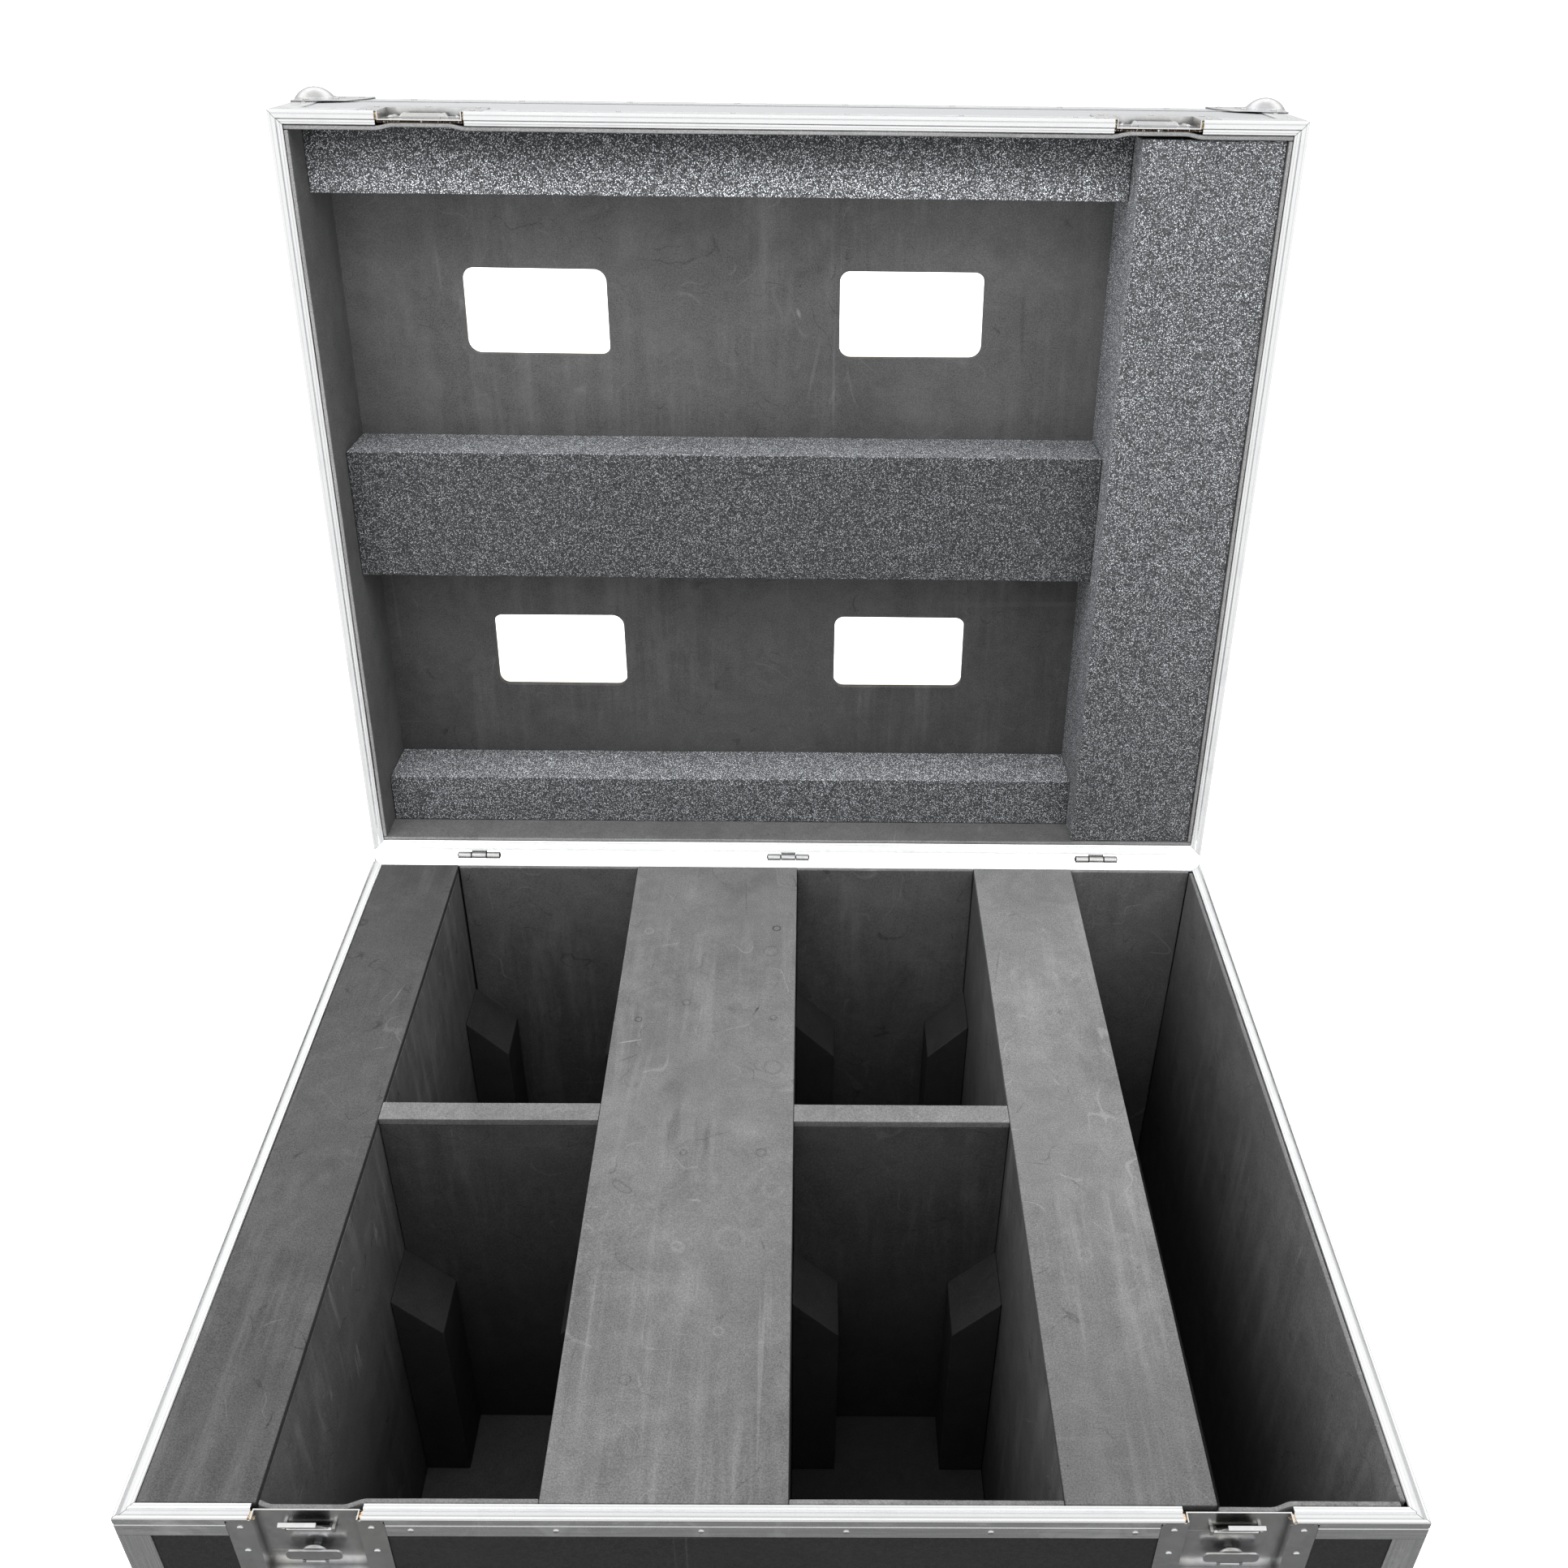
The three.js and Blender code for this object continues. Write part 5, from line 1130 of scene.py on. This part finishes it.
# ------------------------------------------------------------------ handles
for n, sx in (("left", -1), ("right", 1)):
    node = f"handle_{n}_grip"
    lo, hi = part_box(node)
    xc = (lo.x + hi.x) / 2
    zc = 0.304

    bm = bmesh.new()
    segs, ring = 58, 20
    rings = []
    for i in range(segs + 1):
        y = -0.0565 + 0.113 * i / segs
        e = min(1.0, (0.0565 - abs(y)) / 0.004)
        k = 0.86 + 0.14 * math.sqrt(max(0.0, 1 - (1 - e) ** 2))
        k *= 1.0 + (0.035 if (i // 2) % 2 == 0 and 0.2 < i / segs < 0.8 else 0.0) - 0.03
        rings.append([bm.verts.new((xc + 0.0037 * k * math.cos(2 * math.pi * q / ring), y, zc + 0.0084 * k * math.sin(2 * math.pi * q / ring))) for q in range(ring)])
    for a, c in zip(rings, rings[1:]):
        for q in range(ring):
            bm.faces.new((a[q], a[(q + 1) % ring], c[(q + 1) % ring], c[q]))
    bm.faces.new(rings[0][::-1]); bm.faces.new(rings[-1])
    g = finish_obj(from_bm(bm, f"handle_{n}_rubber"), RUBBER, node)
    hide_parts(node)
    # Bail: bent steel rod through the grip to its pivots.
    cu = bpy.data.curves.new(f"handle_{n}_bail", "CURVE")
    cu.dimensions = "3D"
    zp = 0.361
    pts = []
    for sy in (-1, 1):
        seq = [(sy * 0.0665, zp), (sy * 0.056, zp), (sy * 0.0532, zp - 0.0028), (sy * 0.0532, zc + 0.004), (sy * 0.051, zc)]
        pts += seq if sy < 0 else seq[::-1]
    sp = cu.splines.new("POLY")
    sp.points.add(len(pts) - 1)
    for p, (y, z) in zip(sp.points, pts):
        p.co = (xc, y, z, 1)
    cu.bevel_depth = 0.0026
    cu.bevel_resolution = 4
    cu.use_fill_caps = True
    tmp = bpy.data.objects.new("tmp_bail", cu)
    bpy.context.scene.collection.objects.link(tmp)
    bpy.context.view_layer.update()
    me = bpy.data.meshes.new_from_object(tmp.evaluated_get(bpy.context.evaluated_depsgraph_get()))
    bpy.data.objects.remove(tmp)
    me.name = f"handle_{n}_bail"
    finish_obj(bpy.data.objects.new(f"handle_{n}_bail", me), ZINC, node)

# ------------------------------------------------------------------ latch gaps: torn plywood


def splinter_strip(name, c, y0, y1, z0, z1, sz, body, lid, seed):
    rr = random.Random(seed)
    n = 120

    def f(y):
        def g(u, v):
            x = c - NOTCH + 0.0008 + (2 * NOTCH - 0.0016) * u
            jag = (rr2[int(round(u * n))] if v > 0.99 else 0.0)
            return Vector((x, y, z0 + (z1 - z0) * v + sz * jag))
        return g
    rr2 = [rr.uniform(-0.0016, 0.0008) if rr.random() < 0.75 else rr.uniform(-0.004, 0.0015) for _ in range(n + 1)]
    o = thick(name, n, 6, f(y0), f(y1), WOOD_DARK, body, lid=lid, bevel=0.0, wob=0.0002, seed=seed)
    return o


def fibres(name, c, side, z, body, lid, seed, sz):
    """Splinters at a sawn rail end."""
    rr = random.Random(seed)
    bm = bmesh.new()
    for i in range(16):
        x = c + side * (NOTCH - 0.0012 - rr.uniform(0, 0.0026))
        y = -YO + rr.uniform(0.002, 0.0102)
        L = rr.uniform(0.002, 0.0048)
        d = Vector((-side * rr.uniform(0.2, 1.0), rr.uniform(-0.5, 0.5), sz * rr.uniform(0.2, 1.0))).normalized()
        p = Vector((x, y, z - sz * rr.uniform(0.002, 0.006)))
        r = rr.uniform(0.00022, 0.00045)
        a = d.orthogonal().normalized(); b = d.cross(a)
        ring0 = [bm.verts.new(p + (a * math.cos(t) + b * math.sin(t)) * r) for t in (0, 2.1, 4.2)]
        tip = bm.verts.new(p + d * L)
        for q in range(3):
            bm.faces.new((ring0[q], ring0[(q + 1) % 3], tip))
        bm.faces.new(ring0[::-1])
    return finish_obj(from_bm(bm, name), WOOD, body, lid, 0.0, wn=False)


def chip(name, c, side, z0, z1, body, lid, seed):
    """Lump of torn ply left at the cut end of a rail."""
    rr = random.Random(seed)
    n, m = 10, 12
    ya, yb = -YO + 0.0022, -YO + 0.0100
    xa = c + side * (NOTCH - 0.0002)

    def f(off):
        def g(u, v):
            p = Vector((xa - side * off, ya + (yb - ya) * u, z0 + (z1 - z0) * v))
            k = off / 0.0022
            e = math.sin(math.pi * min(1, max(0, u))) ** 0.4 * (math.sin(math.pi * (0.15 + 0.7 * v))) ** 0.5
            p.x -= side * k * (noise.noise(Vector((u * 4.1, v * 5.3, seed))) * 0.0011 + (e - 0.8) * 0.0012)
            p.z += (1 if z1 > z0 else -1) * v * noise.noise(Vector((u * 7.7, seed, k))) * 0.0022
            return p
        return g
    return thick(name, n, m, f(0.0), f(0.0022), WOOD, body, lid=lid, bevel=0.0, wob=0.0)


for n, c in (("left", -LATCH_X), ("right", LATCH_X)):
    splinter_strip(f"base_gap_edge_{n}", c, -YO + 0.0103, -YO + 0.0107, HB - 0.03, HB - 0.0042, 1, "base", False, 21 + int(c > 0))
    splinter_strip(f"lid_gap_edge_{n}", c, -YO + 0.0104, -YO + 0.0131, HB + 0.03, HB + 0.0026, -1, "lid", True, 31 + int(c > 0))
    for side, sn in ((-1, "a"), (1, "b")):
        fibres(f"base_gap_fibres_{n}_{sn}", c, side, HB - 0.003, "base", False, 41 + side + int(c > 0) * 3, 1)
        fibres(f"lid_gap_fibres_{n}_{sn}", c, side, HB + 0.003, "lid", True, 51 + side + int(c > 0) * 3, -1)
        chip(f"base_gap_chip_{n}_{sn}", c, side, HB - 0.018, HB - 0.0035, "base", False, 61 + side + int(c > 0) * 3)
        chip(f"lid_gap_chip_{n}_{sn}", c, side, HB + 0.018, HB + 0.0035, "lid", True, 71 + side + int(c > 0) * 3)

# Pressed tongue of the keeper: raised frame with a slot, fixed to the dish floor.
for n, c in (("left", -LATCH_X), ("right", LATCH_X)):
    klo, khi = shut_box(f"latch_{n}_keeper")
    yf = khi.y - 0.0012                     # dish floor, facing out

    def tongue(top, c=c, yf=yf):
        def g(u, v):
            dx = -0.044 + 0.088 * u
            q = 0.0205 + 0.0205 * v
            a = abs(dx)
            side = 1 - sstep(0.0285 - q * 0.15, 0.0325 - q * 0.15, a)
            hgt = 0.0034 * side * sstep(0.0212, 0.0238, q) * (1 - sstep(0.0362, 0.0392, q))
            slot = (1 - sstep(0.0165, 0.0185, a)) * sstep(0.0270, 0.0280, q) * (1 - sstep(0.0318, 0.0328, q))
            hgt *= 1 - 0.97 * slot
            hgt += 0.0011 * math.exp(-(((a - 0.0235) / 0.0032) ** 2 + ((q - 0.030) / 0.0045) ** 2))
            hgt += 0.0016 * (1 - sstep(0.0012, 0.0026, abs(a - 0.0375 + 0.3 * (q - 0.03)))) * sstep(0.0215, 0.025, q) * (1 - sstep(0.036, 0.039, q))
            return Vector((c + dx, yf - 0.0001 - (0.0004 + hgt if top else 0.0), HB + q))
        return g
    thick(f"latch_{n}_keeper_tongue", 88, 30, tongue(True), tongue(False), ZINC_LID, "lid", lid=True, bevel=0.0, wob=0.0)

# ------------------------------------------------------------------ castor hardware


def hexhead(bm, p, n, r=0.0062, h=0.0045):
    n = Vector(n).normalized(); t = n.orthogonal().normalized(); b = n.cross(t)
    rings = []
    for rr, hh in ((r, 0.0), (r, h * 0.85), (r * 0.86, h)):
        rings.append([bm.verts.new(p + n * hh + (t * math.cos(math.pi * k / 3) + b * math.sin(math.pi * k / 3)) * rr) for k in range(6)])
    for a, c in zip(rings, rings[1:]):
        for k in range(6):
            bm.faces.new((a[k], a[(k + 1) % 6], c[(k + 1) % 6], c[k]))
    bm.faces.new(rings[-1]); bm.faces.new(rings[0][::-1])


for ny in ("front", "back"):
    for nx in ("left", "right"):
        lo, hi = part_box(f"castor_{ny}_{nx}_plate")
        c = (lo + hi) / 2
        bm = bmesh.new()
        for dx in (-0.041, 0.041):
            for dy in (-0.033, 0.033):
                hexhead(bm, Vector((c.x + dx, c.y + dy, -0.0045)), (0, 0, -1))
        finish_obj(from_bm(bm, f"castor_{ny}_{nx}_bolts"), STEEL, "base", False, 0.0004, wn=False)
        lo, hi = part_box(f"castor_{ny}_{nx}_wheel")
        w = (lo + hi) / 2
        bm = bmesh.new()
        for sx in (-1, 1):
            hexhead(bm, Vector((w.x + sx * 0.0272, w.y, w.z)), (sx, 0, 0), 0.008, 0.005)
        finish_obj(from_bm(bm, f"castor_{ny}_{nx}_axle_nuts"), STEEL, f"castor_{ny}_{nx}_fork", False, 0.0004, wn=False)

# ------------------------------------------------------------------ stage, light, camera
b0, b1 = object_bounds()
zf = b0.z


def floor():
    bm = bmesh.new()
    bmesh.ops.create_grid(bm, x_segments=8, y_segments=8, size=60.0)
    for v in bm.verts:
        v.co.z = zf - 0.0002
    me = bpy.data.meshes.new("floor")
    bm.to_mesh(me); bm.free()
    o = bpy.data.objects.new("floor", me)
    bpy.context.scene.collection.objects.link(o)
    t = Tree("floor")
    b = t.bsdf
    b.inputs["Base Color"].default_value = (0.93, 0.93, 0.93, 1)
    b.inputs["Roughness"].default_value = 0.9
    b.inputs["Specular IOR Level"].default_value = 0.0
    # Painted shadow: to reflection rays the floor glows, darker for steep rays, so reflections see it shaded near and
    # under the case.
    lp = t.node("ShaderNodeLightPath")
    ge = t.node("ShaderNodeNewGeometry")
    reflected_shade = t.ramp(t.sep(ge.outputs["Incoming"])[2], 0.36, 0.82, 0.98, 0.16)
    em = t.node("ShaderNodeEmission")
    t.put(em.inputs["Strength"], reflected_shade)
    mx = t.node("ShaderNodeMixShader")
    t.put(mx.inputs[0], lp.outputs["Is Glossy Ray"])
    t.put(mx.inputs[1], b.outputs[0])
    t.put(mx.inputs[2], em.outputs[0])
    t.nt.links.new(mx.outputs[0], t.nt.nodes["Material Output"].inputs["Surface"])
    o.data.materials.append(t.mat)
    o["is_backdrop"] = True


floor()
world = bpy.data.worlds.new("studio")
bpy.context.scene.world = world
world.use_nodes = True
nt = world.node_tree
nt.nodes.clear()
out = nt.nodes.new("ShaderNodeOutputWorld")
tc = nt.nodes.new("ShaderNodeTexCoord")
sx = nt.nodes.new("ShaderNodeSeparateXYZ")
nt.links.new(tc.outputs["Generated"], sx.inputs[0])


def mr(sock, a, b, c, d):
    n = nt.nodes.new("ShaderNodeMapRange")
    n.interpolation_type = "SMOOTHSTEP"
    nt.links.new(sock, n.inputs["Value"])
    n.inputs["From Min"].default_value = a
    n.inputs["From Max"].default_value = b
    n.inputs["To Min"].default_value = c
    n.inputs["To Max"].default_value = d
    return n.outputs["Result"]


def wm(op, a, b):
    n = nt.nodes.new("ShaderNodeMath")
    n.operation = op
    for s, v in zip(n.inputs, (a, b)):
        if isinstance(v, bpy.types.NodeSocket):
            nt.links.new(v, s)
        else:
            s.default_value = v
    return n.outputs[0]


lp = nt.nodes.new("ShaderNodeLightPath")
dif = wm("MULTIPLY", mr(sx.outputs["Z"], -0.05, 0.95, 0.42, 3.35), mr(sx.outputs["X"], -1.0, 1.0, 1.08, 0.92))
hor = wm("ADD", mr(sx.outputs["Y"], -0.9, 0.2, 1.08, 0.42), mr(sx.outputs["Y"], 0.2, 1.0, 0.0, 0.22))
ele = mr(sx.outputs["Z"], 0.28, 0.62, 0.0, 1.0)
glo = wm("ADD", wm("MULTIPLY", hor, wm("SUBTRACT", 1.0, ele)), wm("MULTIPLY", ele, mr(sx.outputs["Z"], 0.75, 0.97, 1.22, 0.7)))
is_g = lp.outputs["Is Glossy Ray"]
st = wm("ADD", wm("MULTIPLY", dif, wm("SUBTRACT", 1.0, is_g)), wm("MULTIPLY", glo, is_g))
is_c = lp.outputs["Is Camera Ray"]
st = wm("ADD", wm("MULTIPLY", st, wm("SUBTRACT", 1.0, is_c)), wm("MULTIPLY", 1.2, is_c))
bg = nt.nodes.new("ShaderNodeBackground")
bg.inputs["Color"].default_value = (1, 1, 1, 1)
nt.links.new(st, bg.inputs["Strength"])
nt.links.new(bg.outputs[0], out.inputs[0])


def area(name, loc, target, size, power):
    l = bpy.data.lights.new(name, "AREA")
    l.shape = "RECTANGLE"
    l.size, l.size_y = size
    l.energy = power
    o = bpy.data.objects.new(name, l)
    bpy.context.scene.collection.objects.link(o)
    o.location = loc
    o.rotation_mode = "QUATERNION"
    o.rotation_quaternion = (Vector(target) - Vector(loc)).to_track_quat("-Z", "Y")
    o.visible_glossy = False
    return o


area("softbox_top", (-0.25, 0.1, 3.0), (0, 0.05, 0.5), (2.0, 1.4), 45)

# Camera: standing in front of the case, looking down into it.
f_px, px, py = 1877.7, 1008.5, 936.6
Wc = 2 * XO
yaw, pitch, roll = 0.0110, 0.5840, 0.0139
fw = Vector((math.sin(yaw) * math.cos(pitch), math.cos(yaw) * math.cos(pitch), -math.sin(pitch)))
rt = Vector((math.cos(yaw), -math.sin(yaw), 0.0))
up = rt.cross(fw)
rt2 = math.cos(roll) * rt + math.sin(roll) * up
up2 = -math.sin(roll) * rt + math.cos(roll) * up
cam = bpy.data.cameras.new("camera")
cam.sensor_fit = "HORIZONTAL"
cam.sensor_width = 36.0
cam.lens = f_px / 1932.0 * 36.0
cam.shift_x = (966.0 - px) / 1932.0
cam.shift_y = (py - 966.0) / 1932.0
cam.clip_start, cam.clip_end = 0.05, 200.0
co = bpy.data.objects.new("camera", cam)
bpy.context.scene.collection.objects.link(co)
m = Matrix((
    (rt2.x, up2.x, -fw.x, 0.0188 * Wc),
    (rt2.y, up2.y, -fw.y, YO - 1.4697 * Wc),
    (rt2.z, up2.z, -fw.z, HB + 1.1164 * Wc),
    (0, 0, 0, 1)))
co.matrix_world = m
bpy.context.scene.camera = co
vs = bpy.context.scene.view_settings
vs.view_transform = "Standard"
vs.look = "None"
vs.exposure = 0.0
vs.gamma = 1.0

b0, b1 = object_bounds()
